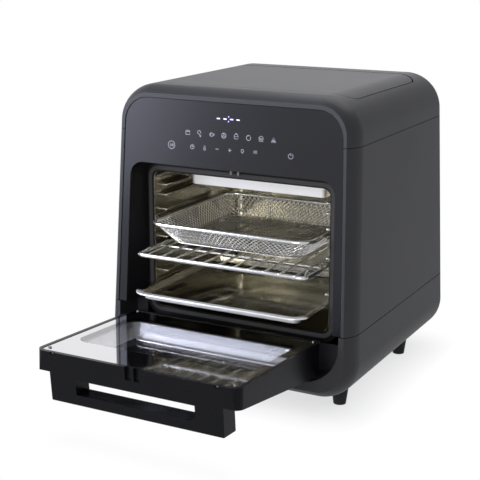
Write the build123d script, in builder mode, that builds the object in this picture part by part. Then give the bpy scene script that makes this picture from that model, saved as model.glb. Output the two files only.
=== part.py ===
from build123d import *
import os
from math import cos, degrees, hypot, radians, sin, sqrt

os.makedirs("parts", exist_ok=True)

# Steam air fryer oven. Millimetres. X to the right, Y to the back, Z up.
# The origin is on the table, midway between the feet. The door stands open on
# its stop, and the three accessories are drawn part of the way out.

# Casing
foot_height = 20
casing_height = 348
casing_low_half = 166
casing_top_half = 154.5
casing_corner = 45
casing_wall = 2.6
front_base = -166.6
front_lean = 0.06
rear_base = 165
rear_lean = 0.05
front_edge_radius = 35
front_edge_cut = 10.25
rear_edge_radius = 20
rim_width = 3.7
rim_depth = 9
low_seam = 101
high_seam = 314
seam_gap = 0.6
fit_gap = 0.3
rear_panel_half = 126

# Feet
foot_inset = 38
foot_front_y = -108
foot_rear_y = 88
foot_low_radius = 7.5
foot_top_radius = 11

# Control glass and the frame behind it
glass_thickness = 3.2
glass_recess = 1
glass_gap = 0.4
opening_top = 276
opening_top_half = 133.7
opening_flare = 0.027
opening_corner = 17
frame_plate = 2.6
reveal_wall = 2.4
reveal_rear_half = 127.2
reveal_rear_top = 274

# Oven cavity
cavity_half = 118
cavity_low = 90
cavity_top = 262
cavity_rear = 93
cavity_wall = 1
cavity_corner = 10
flange_width = 13
seal_width = 5
seal_thickness = 1.3
rib_reach = 11
rib_height = 3.5
rib_front = -112
rib_rear = 80
tilt_rib_rear = -55
tilt_rib_rise = 9

# Door
door_open_angle = 86.6
door_face = -125
hinge_y = -152.5
hinge_z = 65
door_half = 125.5
door_near = 8.5
door_far = 207.8
door_thick_near = 41
door_thick_far = 23.5
door_far_corner = 13
door_near_corner = 6
door_glass_half = 120.5
door_glass_margin = 5.5
door_glass_thickness = 4
door_glass_recess = 0.5
window_half = 108
window_near = 38
window_far = 155
window_corner = 14
surround_depth = 15
surround_taper = 9
surround_sheet = 1.2
outer_glass_half = 117
outer_glass_far = 181
handle_half = 107.5
handle_depth = 24
handle_drop = 30
handle_bar = 12.5
handle_slot_half = 74
pin_diameter = 6
pin_clearance = 0.05
lug_radius = 8
lug_width = 13
lug_x = 82
bracket_thickness = 6
far_lean = 0.14

# Lid over the water tank
tank_high = 355
cap_height = 6
tank_clearance = 3
lid_half = 134.5
lid_front = -111.8
lid_rear = 101.5
lid_corner = 22
lid_gap = 0.8
lid_axis_inset = 9.5
lid_axis_drop = 7.4
lid_pin_diameter = 3
well_floor = 326
well_wall = 2

# Accessories
basket_rod = 5
basket_half = 108
basket_front = -158.5
basket_length = 203
basket_z = 203
basket_depth = 25
basket_slope = 18
basket_corner = 22
basket_sheet = 1
net_gap = 8.4
net_pitch = 10
rack_rod = 5
rack_half = 113.3
rack_front = -176
rack_length = 208
rack_z = 168
rack_corner = 12
rack_wire = 3
rack_wire_count = 11
rack_wire_pitch = 19.6
tray_half = 116
tray_front = -187
tray_length = 208
tray_z = 123.5
tray_rim = 9.5
tray_depth = 10
tray_sheet = 1.2
tray_taper = 12
tray_corner = 16

# Worked out from the sizes above
casing_top = max(foot_height + casing_height, tank_high + cap_height + tank_clearance + casing_wall)
foot_x = casing_low_half - foot_inset
side_slope = (casing_low_half - casing_top_half) / casing_height
rim_inset = front_edge_radius - sqrt(front_edge_radius**2 - (front_edge_radius - front_edge_cut) ** 2)
panel_inset = rim_inset + rim_width
big = 600

front_plane = Plane(origin=(0, front_base, 0), x_dir=(1, 0, 0), z_dir=(0, -1, front_lean))
rear_plane = Plane(origin=(0, rear_base, 0), x_dir=(-1, 0, 0), z_dir=(0, 1, rear_lean))

open_cos = cos(radians(door_open_angle))
open_sin = sin(radians(door_open_angle))
door_depth = door_face - hinge_y
door_plane = Plane(origin=(0, hinge_y, hinge_z), x_dir=(1, 0, 0), z_dir=(0, -open_cos, -open_sin))
flange_y = door_face + fit_gap + seal_thickness


def half_width(z, inset=0):
    """Half the casing's width at a height, moved inwards by an inset."""
    return casing_low_half - side_slope * (z - foot_height) - inset * hypot(1, side_slope)


def up_front(z):
    """Distance up the leaning front face for a height."""
    return z * hypot(1, front_lean)


def up_rear(z):
    """Distance up the leaning rear face for a height."""
    return z * hypot(1, rear_lean)


def y_plane(y):
    """Upright plane at a depth, with X to the right, Z up and its normal to the front."""
    return Plane.XZ.offset(-y)


def casing_skin(inset, front_cut):
    """The casing's outer form, moved inwards by an inset and cut off behind the front face."""
    low = foot_height + inset
    top = casing_top - inset
    corners = [(-half_width(low, inset), low), (half_width(low, inset), low)]
    corners += [(half_width(top, inset), top), (-half_width(top, inset), top)]
    with BuildPart() as skin:
        with BuildSketch(y_plane(big / 2)) as profile:
            Polygon(*corners, align=None)
            fillet(profile.vertices(), casing_corner - inset)
        extrude(amount=big)
        split(bisect_by=front_plane.offset(front_edge_cut - inset), keep=Keep.BOTTOM)
        split(bisect_by=rear_plane.offset(-inset), keep=Keep.BOTTOM)
        fillet(skin.faces().sort_by(Axis.Y)[0].edges(), front_edge_radius - inset)
        fillet(skin.faces().sort_by(Axis.Y)[-1].edges(), rear_edge_radius - inset)
        split(bisect_by=front_plane.offset(-front_cut), keep=Keep.BOTTOM)
    return skin.part


outer_skin = casing_skin(0, 0)
inner_skin = casing_skin(casing_wall, rim_depth)


def panel_outline(inset, low):
    """Points of the control panel's outline on the leaning front face."""
    top = casing_top - panel_inset - inset
    reach = panel_inset + inset
    points = [(-half_width(low, reach), up_front(low)), (half_width(low, reach), up_front(low))]
    points += [(half_width(top, reach), up_front(top)), (-half_width(top, reach), up_front(top))]
    return points


def casing_band(low, high):
    """A ring of the casing between two heights, open at the front for the control panel."""
    with BuildPart() as band:
        add(outer_skin)
        add(inner_skin, mode=Mode.SUBTRACT)
        with BuildSketch(front_plane) as recess:
            Polygon(*panel_outline(0, foot_height), align=None)
            fillet(recess.vertices().group_by(Axis.Y)[-1], casing_corner - panel_inset)
        extrude(amount=-rim_depth - casing_wall, mode=Mode.SUBTRACT)
        with BuildSketch(Plane.XY.offset(low)):
            Rectangle(big, big)
        extrude(amount=high - low, mode=Mode.INTERSECT)
    return band.part


def save(piece, name):
    """Label a finished piece and write it to its own file."""
    piece.label = name
    export_step(piece, f"parts/{name}.step")


# Top shell, with the opening for the lid
lid_depth = lid_rear - lid_front
lid_centre = (lid_rear + lid_front) / 2
lid_axis_y = lid_rear - lid_axis_inset
lid_axis_z = casing_top - lid_axis_drop
lid_swing = hypot(lid_axis_inset, lid_axis_drop) + fit_gap
lid_rear_gap = lid_swing - lid_axis_inset + fit_gap
lid_hole_depth = lid_depth + lid_gap + lid_rear_gap
lid_hole_centre = lid_centre + (lid_rear_gap - lid_gap) / 2

with BuildPart() as top_shell:
    add(casing_band(high_seam + seam_gap / 2, casing_top))
    with BuildSketch(Plane.XY.offset(well_floor)):
        with Locations((0, lid_hole_centre)):
            RectangleRounded(2 * (lid_half + lid_gap), lid_hole_depth, lid_corner + lid_gap)
    extrude(amount=casing_top, mode=Mode.SUBTRACT)
save(top_shell.part, "top_shell")

# Side panels, from the front rim round to the rear corners
rear_hole_half = rear_panel_half + seam_gap
side_band = casing_band(low_seam + seam_gap / 2, high_seam - seam_gap / 2)
for name, side in (("side_panel_left", -1), ("side_panel_right", 1)):
    with BuildPart() as side_panel:
        add(side_band)
        with BuildSketch(Plane.XY):
            with Locations((side * big / 2, 0)):
                Rectangle(big, big)
        extrude(amount=casing_top, mode=Mode.INTERSECT)
        with BuildSketch(Plane.XY):
            with Locations((0, big / 2)):
                Rectangle(2 * rear_hole_half, big)
        extrude(amount=casing_top, mode=Mode.SUBTRACT)
    save(side_panel.part, name)

# Rear panel, with its louvred vents
vent_length = 52
vent_height = 4
vent_pitch = 10
vent_rows = 8
vent_z = 250
gland_x = -84
gland_z = 122
gland_radius = 8

with BuildPart() as rear_panel:
    add(side_band)
    with BuildSketch(Plane.XY):
        with Locations((0, big / 2)):
            Rectangle(2 * rear_panel_half, big)
    extrude(amount=casing_top, mode=Mode.INTERSECT)
    with BuildSketch(rear_plane):
        with Locations((0, up_rear(vent_z))):
            with GridLocations(2 * vent_length - 2 * vent_pitch, vent_pitch, 2, vent_rows):
                SlotOverall(vent_length, vent_height)
        with Locations((-gland_x, up_rear(gland_z))):
            Circle(gland_radius + fit_gap)
    extrude(amount=-2 * casing_wall, mode=Mode.SUBTRACT)
save(rear_panel.part, "rear_panel")

# Bottom shell: a tub with the pocket that the door's lower edge turns in
pocket_half = 147
pocket_floor = 42
pocket_corner = 45
pocket_back = -121.4
vent_slot_length = 60
vent_slot_width = 4
board_post_radius = 4
board_post_x = 70
board_post_y = 44
board_z = 36


def pocket_outline(grow):
    """Points of the door pocket's outline, seen from the front."""
    low = pocket_floor - grow
    high = low_seam + casing_corner
    half = pocket_half + grow
    return [(-half, low), (half, low), (half, high), (-half, high)]


with BuildPart() as bottom_shell:
    add(outer_skin)
    add(inner_skin, mode=Mode.SUBTRACT)
    with BuildSketch(y_plane(pocket_back + casing_wall)) as pocket_body:
        Polygon(*pocket_outline(casing_wall), align=None)
        fillet(pocket_body.vertices().group_by(Axis.Y)[0], pocket_corner + casing_wall)
    extrude(amount=big / 4)
    add(outer_skin, mode=Mode.INTERSECT)
    with BuildSketch(y_plane(pocket_back)) as pocket:
        Polygon(*pocket_outline(0), align=None)
        fillet(pocket.vertices().group_by(Axis.Y)[0], pocket_corner)
    extrude(amount=big / 4, mode=Mode.SUBTRACT)
    with BuildSketch(Plane.XY.offset(cavity_low - flange_width - seam_gap)):
        with Locations((0, pocket_back)):
            Rectangle(2 * (cavity_half + flange_width + seam_gap), 6 * casing_wall)
    extrude(amount=casing_top, mode=Mode.SUBTRACT)
    with BuildSketch(Plane.XY.offset(foot_height + casing_wall)):
        with GridLocations(2 * board_post_x, 2 * board_post_y, 2, 2):
            Circle(board_post_radius)
    extrude(amount=board_z - foot_height - casing_wall)
    with BuildSketch(Plane.XY.offset(foot_height)):
        with GridLocations(0, 3 * vent_slot_width, 1, 5):
            SlotOverall(vent_slot_length, vent_slot_width)
    extrude(amount=casing_wall, mode=Mode.SUBTRACT)
    with BuildSketch(Plane.XY.offset(foot_height)):
        Rectangle(big, big)
    extrude(amount=low_seam - seam_gap / 2 - foot_height, mode=Mode.INTERSECT)
save(bottom_shell.part, "bottom_shell")

# Feet, tapered pads whose tops follow the casing's underside
foot_places = (
    ("foot_front_left", -foot_x, foot_front_y),
    ("foot_front_right", foot_x, foot_front_y),
    ("foot_rear_left", -foot_x, foot_rear_y),
    ("foot_rear_right", foot_x, foot_rear_y),
)
for name, x, y in foot_places:
    with BuildPart() as foot:
        with BuildSketch(Plane(origin=(x, y, 0))):
            Circle(foot_low_radius)
        with BuildSketch(Plane(origin=(x, y, foot_height * 1.3))):
            Circle(foot_top_radius)
        loft()
        add(outer_skin, mode=Mode.SUBTRACT)
    save(foot.part, name)

# Control glass: one pane over the head and both pillars
def opening_outline(grow, low):
    """Points of the oven opening's outline on the leaning front face."""
    low_half = opening_top_half + opening_flare * (opening_top - low) + grow
    high_half = opening_top_half + grow
    points = [(-low_half, up_front(low)), (low_half, up_front(low))]
    points += [(high_half, up_front(opening_top + grow)), (-high_half, up_front(opening_top + grow))]
    return points


panel_low = low_seam + seam_gap

with BuildPart() as control_glass:
    with BuildSketch(front_plane.offset(-glass_recess)) as pane:
        Polygon(*panel_outline(glass_gap, panel_low), align=None)
        fillet(pane.vertices().group_by(Axis.Y)[-1], casing_corner - panel_inset - glass_gap)
    extrude(amount=-glass_thickness)
    with BuildSketch(front_plane.offset(-glass_recess)) as hole:
        Polygon(*opening_outline(0, foot_height), align=None)
        fillet(hole.vertices().group_by(Axis.Y)[-1], opening_corner)
    extrude(amount=-glass_thickness, mode=Mode.SUBTRACT)
save(control_glass.part, "control_glass")

# Front frame: the black plate behind the glass and the reveal round the opening
frame_offset = glass_recess + glass_thickness + fit_gap
post_height = 8
post_margin = 5
post_radius = 3
control_board_half = 92
control_board_low = 286
control_board_high = 346
display_half = 24
display_low = 328
display_high = 343
catch_x = 0
catch_half = 11
catch_y = -133


def reveal_solid(grow):
    """The opening's tapering passage, from the glass back to the oven's flange."""
    low = low_seam - casing_corner
    half = reveal_rear_half + grow
    top = reveal_rear_top + grow
    with BuildPart() as passage:
        with BuildSketch(front_plane.offset(-frame_offset)) as mouth:
            Polygon(*opening_outline(grow, low), align=None)
            fillet(mouth.vertices().group_by(Axis.Y)[-1], opening_corner)
        with BuildSketch(y_plane(flange_y)) as throat:
            Polygon((-half, low), (half, low), (half, top), (-half, top), align=None)
            fillet(throat.vertices().group_by(Axis.Y)[-1], opening_corner)
        loft()
    return passage.part


reveal_outer = reveal_solid(reveal_wall)
reveal_inner = reveal_solid(0)

with BuildPart() as front_frame:
    with BuildSketch(front_plane.offset(-frame_offset)) as plate:
        Polygon(*panel_outline(glass_gap, panel_low), align=None)
        fillet(plate.vertices().group_by(Axis.Y)[-1], casing_corner - panel_inset - glass_gap)
    extrude(amount=-frame_plate)
    with BuildSketch(front_plane.offset(-frame_offset - frame_plate)):
        with Locations((0, up_front((control_board_low + control_board_high) / 2))):
            post_span = control_board_high - control_board_low - 2 * post_margin
            with GridLocations(2 * (control_board_half - post_margin), post_span, 2, 2):
                Circle(post_radius)
    extrude(amount=-post_height)
    with BuildSketch(front_plane.offset(-frame_offset)):
        with Locations((0, up_front((display_low + display_high) / 2))):
            Rectangle(2 * display_half, display_high - display_low)
    extrude(amount=-frame_plate, mode=Mode.SUBTRACT)
    add(reveal_outer)
    add(reveal_inner, mode=Mode.SUBTRACT)
    with BuildSketch(Plane.XY.offset(reveal_rear_top - reveal_wall)):
        with Locations((catch_x, catch_y)):
            Rectangle(2 * catch_half, 2 * catch_half)
    extrude(amount=4 * reveal_wall, mode=Mode.SUBTRACT)
    with BuildSketch(Plane.XY.offset(panel_low)):
        Rectangle(big, big)
    extrude(amount=casing_top, mode=Mode.INTERSECT)
save(front_frame.part, "front_frame")

# Door catch: a plate on the reveal's roof with the two rollers that grip the door's tab
catch_plate = 3
catch_lap = 4
catch_inset = 3
roller_radius = 1.8
roller_offset = 4.8
roller_drop = 5.5
catch_z = reveal_rear_top + reveal_wall + 2

with BuildPart() as door_catch:
    with BuildSketch(Plane.XY.offset(catch_z)):
        with Locations((catch_x, catch_y)):
            Rectangle(2 * (catch_half + catch_lap), 2 * (catch_half - catch_inset))
    extrude(amount=catch_plate)
    with BuildSketch(Plane.XY.offset(catch_z)):
        with Locations((catch_x - roller_offset, catch_y), (catch_x + roller_offset, catch_y)):
            Circle(roller_radius)
    extrude(amount=reveal_rear_top - roller_drop - catch_z)
save(door_catch.part, "door_catch")

# Control board on its posts, and the display that looks through the frame
board_thickness = 1.6
board_offset = frame_offset + frame_plate + post_height
chip_size = 18
chip_places = ((-40, control_board_low + 30), (36, control_board_low + 26))

with BuildPart() as control_board:
    with BuildSketch(front_plane.offset(-board_offset)):
        with Locations((0, up_front((control_board_low + control_board_high) / 2))):
            Rectangle(2 * control_board_half, control_board_high - control_board_low)
    extrude(amount=-board_thickness)
    with BuildSketch(front_plane.offset(-board_offset - board_thickness)):
        with Locations(*[(x, up_front(z)) for x, z in chip_places]):
            Rectangle(chip_size, chip_size)
    extrude(amount=-3)
save(control_board.part, "control_board")

with BuildPart() as display_module:
    with BuildSketch(front_plane.offset(-frame_offset - fit_gap)):
        with Locations((0, up_front((display_low + display_high) / 2))):
            Rectangle(2 * display_half - 1, display_high - display_low - 1)
    extrude(amount=-(frame_plate + post_height - fit_gap))
save(display_module.part, "display_module")

# Oven liner: stainless panels welded into a box, open at the front, with a flange
tray_ledge = tray_z - 2
rack_ledge = rack_z - rack_rod / 2 - fit_gap
basket_ledge = basket_z - basket_rod / 2 - fit_gap
spare_ledge = 231
fan_y = -10
fan_hole_radius = 56
cavity_centre_z = (cavity_low + cavity_top) / 2
cavity_height = cavity_top - cavity_low
steam_x = -60
steam_z = 222
steam_radius = 4
lamp_y = 40
lamp_z = 213.8
lamp_radius = 12.5

with BuildPart() as cavity_flange:
    with BuildSketch(y_plane(flange_y + cavity_wall)):
        with Locations((0, cavity_centre_z)):
            RectangleRounded(
                2 * (cavity_half + flange_width),
                cavity_height + 2 * flange_width,
                cavity_corner + flange_width,
            )
            Rectangle(2 * cavity_half, cavity_height, mode=Mode.SUBTRACT)
    extrude(amount=cavity_wall)
save(cavity_flange.part, "cavity_flange")

panel_front = flange_y + cavity_wall
panel_middle = (panel_front + cavity_rear) / 2
panel_depth = cavity_rear - panel_front

with BuildPart() as cavity_floor:
    with BuildSketch(Plane.XY.offset(cavity_low - cavity_wall)):
        with Locations((0, panel_middle)):
            Rectangle(2 * (cavity_half + cavity_wall), panel_depth)
    extrude(amount=cavity_wall)
save(cavity_floor.part, "cavity_floor")

with BuildPart() as cavity_ceiling:
    with BuildSketch(Plane.XY.offset(cavity_top)):
        with Locations((0, panel_middle)):
            Rectangle(2 * (cavity_half + cavity_wall), panel_depth)
        with Locations((0, fan_y)):
            Circle(fan_hole_radius, mode=Mode.SUBTRACT)
    extrude(amount=cavity_wall)
save(cavity_ceiling.part, "cavity_ceiling")

with BuildPart() as cavity_rear_wall:
    with BuildSketch(y_plane(cavity_rear + cavity_wall)):
        with Locations((0, cavity_centre_z)):
            Rectangle(2 * (cavity_half + cavity_wall), cavity_height + 2 * cavity_wall)
        with Locations((steam_x, steam_z)):
            Circle(steam_radius + fit_gap, mode=Mode.SUBTRACT)
    extrude(amount=cavity_wall)
save(cavity_rear_wall.part, "cavity_rear_wall")

for name, side in (("cavity_left_wall", -1), ("cavity_right_wall", 1)):
    with BuildPart() as cavity_side:
        with BuildSketch(Plane.YZ.offset(cavity_half if side > 0 else -cavity_half - cavity_wall)):
            with Locations((panel_middle, cavity_centre_z)):
                Rectangle(panel_depth, cavity_height)
            if side > 0:
                with Locations((lamp_y, lamp_z)):
                    Circle(lamp_radius, mode=Mode.SUBTRACT)
        extrude(amount=cavity_wall)
    save(cavity_side.part, name)

# Pressed ribs on the side walls: a ledge for each accessory, and a short rib over its front
for name, side in (("shelf_ribs_left", -1), ("shelf_ribs_right", 1)):
    rib_x = side * (cavity_half - rib_reach / 2)
    with BuildPart() as shelf_ribs:
        for ledge in (tray_ledge, rack_ledge, basket_ledge, spare_ledge):
            with BuildSketch(Plane.XY.offset(ledge - rib_height)):
                with Locations((rib_x, (rib_front + rib_rear) / 2)):
                    Rectangle(rib_reach, rib_rear - rib_front)
            extrude(amount=rib_height)
            with BuildSketch(Plane.XY.offset(ledge + tilt_rib_rise)):
                with Locations((rib_x, (rib_front + tilt_rib_rear) / 2)):
                    Rectangle(rib_reach, tilt_rib_rear - rib_front)
            extrude(amount=rib_height)
    save(shelf_ribs.part, name)

# Door seal, a soft ring on the liner's flange
seal_offset = 1.5
seal_inner_half = cavity_half + seal_offset

with BuildPart() as door_seal:
    with BuildSketch(y_plane(flange_y)):
        with Locations((0, cavity_centre_z)):
            RectangleRounded(
                2 * (seal_inner_half + seal_width),
                cavity_height + 2 * (seal_offset + seal_width),
                cavity_corner + seal_width,
            )
            RectangleRounded(2 * seal_inner_half, cavity_height + 3, cavity_corner, mode=Mode.SUBTRACT)
    extrude(amount=seal_thickness)
save(door_seal.part, "door_seal")

# Insulation blanket round the liner's sides, top and floor
blanket = 8
blanket_front = flange_y + 3 * cavity_wall
blanket_rear = cavity_rear

with BuildPart() as insulation_wrap:
    with BuildSketch(y_plane(blanket_rear)):
        inner_half = cavity_half + cavity_wall + fit_gap
        inner_height = cavity_height + 2 * (cavity_wall + fit_gap)
        with Locations((0, cavity_centre_z)):
            RectangleRounded(2 * (inner_half + blanket), inner_height + 2 * blanket, cavity_corner + blanket)
            Rectangle(2 * inner_half, inner_height, mode=Mode.SUBTRACT)
    extrude(amount=blanket_rear - blanket_front)
    with BuildSketch(Plane.XY.offset(cavity_top)):
        with Locations((0, fan_y)):
            Rectangle(2 * fan_hole_radius + 24, 2 * fan_hole_radius + 24)
    extrude(amount=4 * blanket, mode=Mode.SUBTRACT)
    with BuildSketch(Plane.YZ.offset(cavity_half)):
        with Locations((lamp_y, lamp_z)):
            Circle(lamp_radius + 5)
    extrude(amount=4 * blanket, mode=Mode.SUBTRACT)
save(insulation_wrap.part, "insulation_wrap")

# Heater guard: the bright shallow box under the oven's ceiling
guard_half = 91
guard_front = -80
guard_rear = 60
guard_low = 240
guard_sheet = 0.8
guard_slot = 6
guard_rows = 9

with BuildPart() as heater_guard:
    guard_centre = (guard_front + guard_rear) / 2
    guard_depth = guard_rear - guard_front
    with BuildSketch(Plane.XY.offset(guard_low)):
        with Locations((0, guard_centre)):
            RectangleRounded(2 * guard_half, guard_depth, 6)
    extrude(amount=cavity_top - guard_low)
    with BuildSketch(Plane.XY.offset(guard_low + guard_sheet)):
        with Locations((0, guard_centre)):
            RectangleRounded(2 * (guard_half - guard_sheet), guard_depth - 2 * guard_sheet, 6 - guard_sheet)
    extrude(amount=cavity_top, mode=Mode.SUBTRACT)
    with BuildSketch(Plane.XY.offset(guard_low)):
        with Locations((0, guard_centre)):
            with GridLocations(2 * guard_half / 3, 2.2 * guard_slot, 2, guard_rows):
                SlotOverall(guard_half / 2, guard_slot)
    extrude(amount=guard_sheet, mode=Mode.SUBTRACT)
save(heater_guard.part, "heater_guard")

# Heating element: a ring of sheathed tube, with two legs up through the ceiling
heater_radius = 44
heater_tube = 6.5
heater_z = 251
heater_gap_angle = 30
heater_leg_angle = 5
heater_leg = 6
heater_top = 297
heater_legs = []
for turn in (-heater_leg_angle, heater_leg_angle - 360 + heater_gap_angle):
    heater_legs.append((heater_radius * cos(radians(turn)), fan_y + heater_radius * sin(radians(turn))))

with BuildPart() as heating_element:
    with BuildSketch(Plane.XZ.offset(-fan_y)):
        with Locations((heater_radius, heater_z)):
            Circle(heater_tube / 2)
    revolve(axis=Axis((0, fan_y, 0), (0, 0, -1)), revolution_arc=360 - heater_gap_angle)
    for leg_x, leg_y in heater_legs:
        with Locations((leg_x, leg_y, heater_z)):
            Cylinder(heater_leg / 2, heater_top - heater_z, align=(Align.CENTER, Align.CENTER, Align.MIN))
save(heating_element.part, "heating_element")

# Fan housing over the ceiling, the impeller, its shaft and the motor
housing_half = fan_hole_radius + 8
housing_top = 292
housing_corner = 8
shaft_diameter = 6
shaft_end = 3
impeller_radius = 34
impeller_low = 266
impeller_high = 286
blade_count = 8
blade_thickness = 1.2
motor_radius = 30
motor_top = 322
motor_edge = 4
bearing_cover = 3
hub_radius = 9

with BuildPart() as fan_housing:
    with BuildSketch(Plane.XY.offset(cavity_top + cavity_wall)):
        with Locations((0, fan_y)):
            RectangleRounded(2 * housing_half, 2 * housing_half, housing_corner)
    extrude(amount=housing_top - cavity_top - cavity_wall)
    with BuildSketch(Plane.XY.offset(cavity_top + cavity_wall)):
        with Locations((0, fan_y)):
            inside = 2 * (housing_half - cavity_wall)
            RectangleRounded(inside, inside, housing_corner - cavity_wall)
    extrude(amount=housing_top - cavity_top - 2 * cavity_wall, mode=Mode.SUBTRACT)
    with BuildSketch(Plane.XY.offset(housing_top - cavity_wall)):
        with Locations((0, fan_y)):
            Circle(shaft_diameter)
        for leg_x, leg_y in heater_legs:
            with Locations((leg_x, leg_y)):
                Circle(heater_leg / 2 + fit_gap)
    extrude(amount=cavity_wall, mode=Mode.SUBTRACT)
save(fan_housing.part, "fan_housing")

with BuildPart() as fan_impeller:
    with BuildSketch(Plane.XY.offset(impeller_low)):
        with Locations((0, fan_y)):
            Circle(hub_radius)
            with PolarLocations(hub_radius + (impeller_radius - hub_radius) / 2, blade_count):
                Rectangle(impeller_radius - hub_radius + cavity_wall, blade_thickness)
    extrude(amount=impeller_high - impeller_low)
    with BuildSketch(Plane.XY.offset(impeller_high)):
        with Locations((0, fan_y)):
            Circle(impeller_radius)
    extrude(amount=1)
    with BuildSketch(Plane.XY.offset(impeller_low)):
        with Locations((0, fan_y)):
            Circle(shaft_diameter / 2)
    extrude(amount=impeller_high - impeller_low + 1, mode=Mode.SUBTRACT)
save(fan_impeller.part, "fan_impeller")

with BuildPart() as fan_shaft:
    with BuildSketch(Plane.XY.offset(impeller_low - shaft_end)):
        with Locations((0, fan_y)):
            Circle(shaft_diameter / 2)
    extrude(amount=motor_top - bearing_cover - 2 * fit_gap - impeller_low + shaft_end)
save(fan_shaft.part, "fan_shaft")

with BuildPart() as fan_motor:
    with BuildSketch(Plane.XY.offset(housing_top)):
        with Locations((0, fan_y)):
            Circle(motor_radius)
    extrude(amount=motor_top - housing_top)
    fillet(fan_motor.edges().group_by(Axis.Z)[-1], motor_edge)
    with BuildSketch(Plane.XY.offset(housing_top)):
        with Locations((0, fan_y)):
            Circle(shaft_diameter / 2 + pin_clearance)
    extrude(amount=motor_top - housing_top - bearing_cover, mode=Mode.SUBTRACT)
save(fan_motor.part, "fan_motor")

# Oven lamp: lens in the right wall, bulb and holder outside it
lens_thickness = 3
lamp_shell = 22
bulb_radius = 6
bulb_length = 15

with BuildPart() as lamp_lens:
    with BuildSketch(Plane.YZ.offset(cavity_half + pin_clearance)):
        with Locations((lamp_y, lamp_z)):
            Circle(lamp_radius - fit_gap)
    extrude(amount=lens_thickness)
save(lamp_lens.part, "lamp_lens")

with BuildPart() as lamp_holder:
    with BuildSketch(Plane.YZ.offset(cavity_half + cavity_wall)):
        with Locations((lamp_y, lamp_z)):
            Circle(lamp_radius + 3)
    extrude(amount=lamp_shell)
    with BuildSketch(Plane.YZ.offset(cavity_half + cavity_wall)):
        with Locations((lamp_y, lamp_z)):
            Circle(lamp_radius)
    extrude(amount=lamp_shell - 2, mode=Mode.SUBTRACT)
save(lamp_holder.part, "lamp_holder")

with BuildPart() as lamp_bulb:
    with BuildSketch(Plane.YZ.offset(cavity_half + cavity_wall + lamp_shell - 2)):
        with Locations((lamp_y, lamp_z)):
            Circle(bulb_radius)
    extrude(amount=-bulb_length)
    fillet(lamp_bulb.faces().sort_by(Axis.X)[0].edges(), bulb_radius / 2)
save(lamp_bulb.part, "lamp_bulb")

# Door frame: a wedge, thicker at the hinge, with its far end leaning inwards
door_side = Plane(origin=(0, hinge_y, hinge_z), x_dir=door_plane.y_dir, z_dir=(1, 0, 0))
outer_near = door_thick_near - door_depth
outer_far = door_thick_far - door_depth
far_low = door_far - far_lean * door_thick_far
wedge = (outer_near - outer_far) / (far_low - door_near)
outer_origin = door_plane.from_local_coords((0, door_near, outer_near))
outer_plane = Plane(origin=outer_origin, x_dir=(1, 0, 0), z_dir=door_plane.z_dir + door_plane.y_dir * wedge)
backing = 1.2
glass_floor = -door_depth + door_glass_recess + door_glass_thickness
backing_low = glass_floor + fit_gap
glass_near = door_near + door_glass_margin
glass_far = door_far - door_glass_margin
glass_middle = (glass_near + glass_far) / 2
glass_length = glass_far - glass_near
hollow_half = 114
hollow_near = 20
hollow_far = 176
outer_glass_thickness = 3
outer_glass_near = 5.5
claw_inner = 2
claw_outer = 9
claw_depth = 14.5
notch_x = 101.5
notch_width = 6
notch_depth = 3

with BuildPart() as door_frame:
    with BuildSketch(door_side):
        Polygon(
            (door_near, -door_depth), (door_far, -door_depth), (far_low, outer_far), (door_near, outer_near),
            align=None,
        )
    extrude(amount=door_half, both=True)
    with BuildSketch(door_plane.offset(-big / 2)) as plan:
        Polygon(
            (-door_half, door_near), (door_half, door_near), (door_half, door_far), (-door_half, door_far),
            align=None,
        )
        fillet(plan.vertices().group_by(Axis.Y)[-1], door_far_corner)
        fillet(plan.vertices().group_by(Axis.Y)[0], door_near_corner)
    extrude(amount=big, mode=Mode.INTERSECT)
    with BuildSketch(door_plane.offset(-door_depth)):
        with Locations((0, glass_middle)):
            RectangleRounded(
                2 * (door_glass_half + fit_gap), glass_length + 2 * fit_gap, door_far_corner / 2
            )
    extrude(amount=backing_low + backing + fit_gap + door_depth, mode=Mode.SUBTRACT)
    with BuildSketch(door_plane.offset(-door_depth)):
        with Locations((0, (hollow_near + hollow_far) / 2)):
            RectangleRounded(2 * hollow_half, hollow_far - hollow_near, door_far_corner)
    extrude(amount=2 * door_thick_near, mode=Mode.SUBTRACT)
    with BuildSketch(outer_plane):
        with Locations((0, (outer_glass_near + outer_glass_far - door_near) / 2)):
            RectangleRounded(
                2 * (outer_glass_half + fit_gap),
                outer_glass_far - door_near - outer_glass_near,
                door_far_corner,
            )
    extrude(amount=-outer_glass_thickness - fit_gap, mode=Mode.SUBTRACT)
    with BuildSketch(door_plane.offset(-door_depth)):
        with Locations((0, door_far)):
            with GridLocations(claw_inner + claw_outer, 0, 2, 1):
                Rectangle(claw_outer - claw_inner, 2 * (door_glass_margin - fit_gap - 0.4))
    extrude(amount=claw_depth, mode=Mode.SUBTRACT)
    with BuildSketch(door_plane.offset(-door_depth)):
        with Locations((0, door_far)):
            with GridLocations(2 * notch_x, 0, 2, 1):
                Rectangle(notch_width, notch_depth)
    extrude(amount=notch_depth, mode=Mode.SUBTRACT)
save(door_frame.part, "door_frame")

# Door inner glass, its backing plate with the bright window surround, and the outer glass
with BuildPart() as door_inner_glass:
    with BuildSketch(door_plane.offset(glass_floor)):
        with Locations((0, glass_middle)):
            RectangleRounded(2 * door_glass_half, glass_length, door_far_corner / 2)
    extrude(amount=-door_glass_thickness)
save(door_inner_glass.part, "door_inner_glass")

window_middle = (window_near + window_far) / 2
window_length = window_far - window_near


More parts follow.
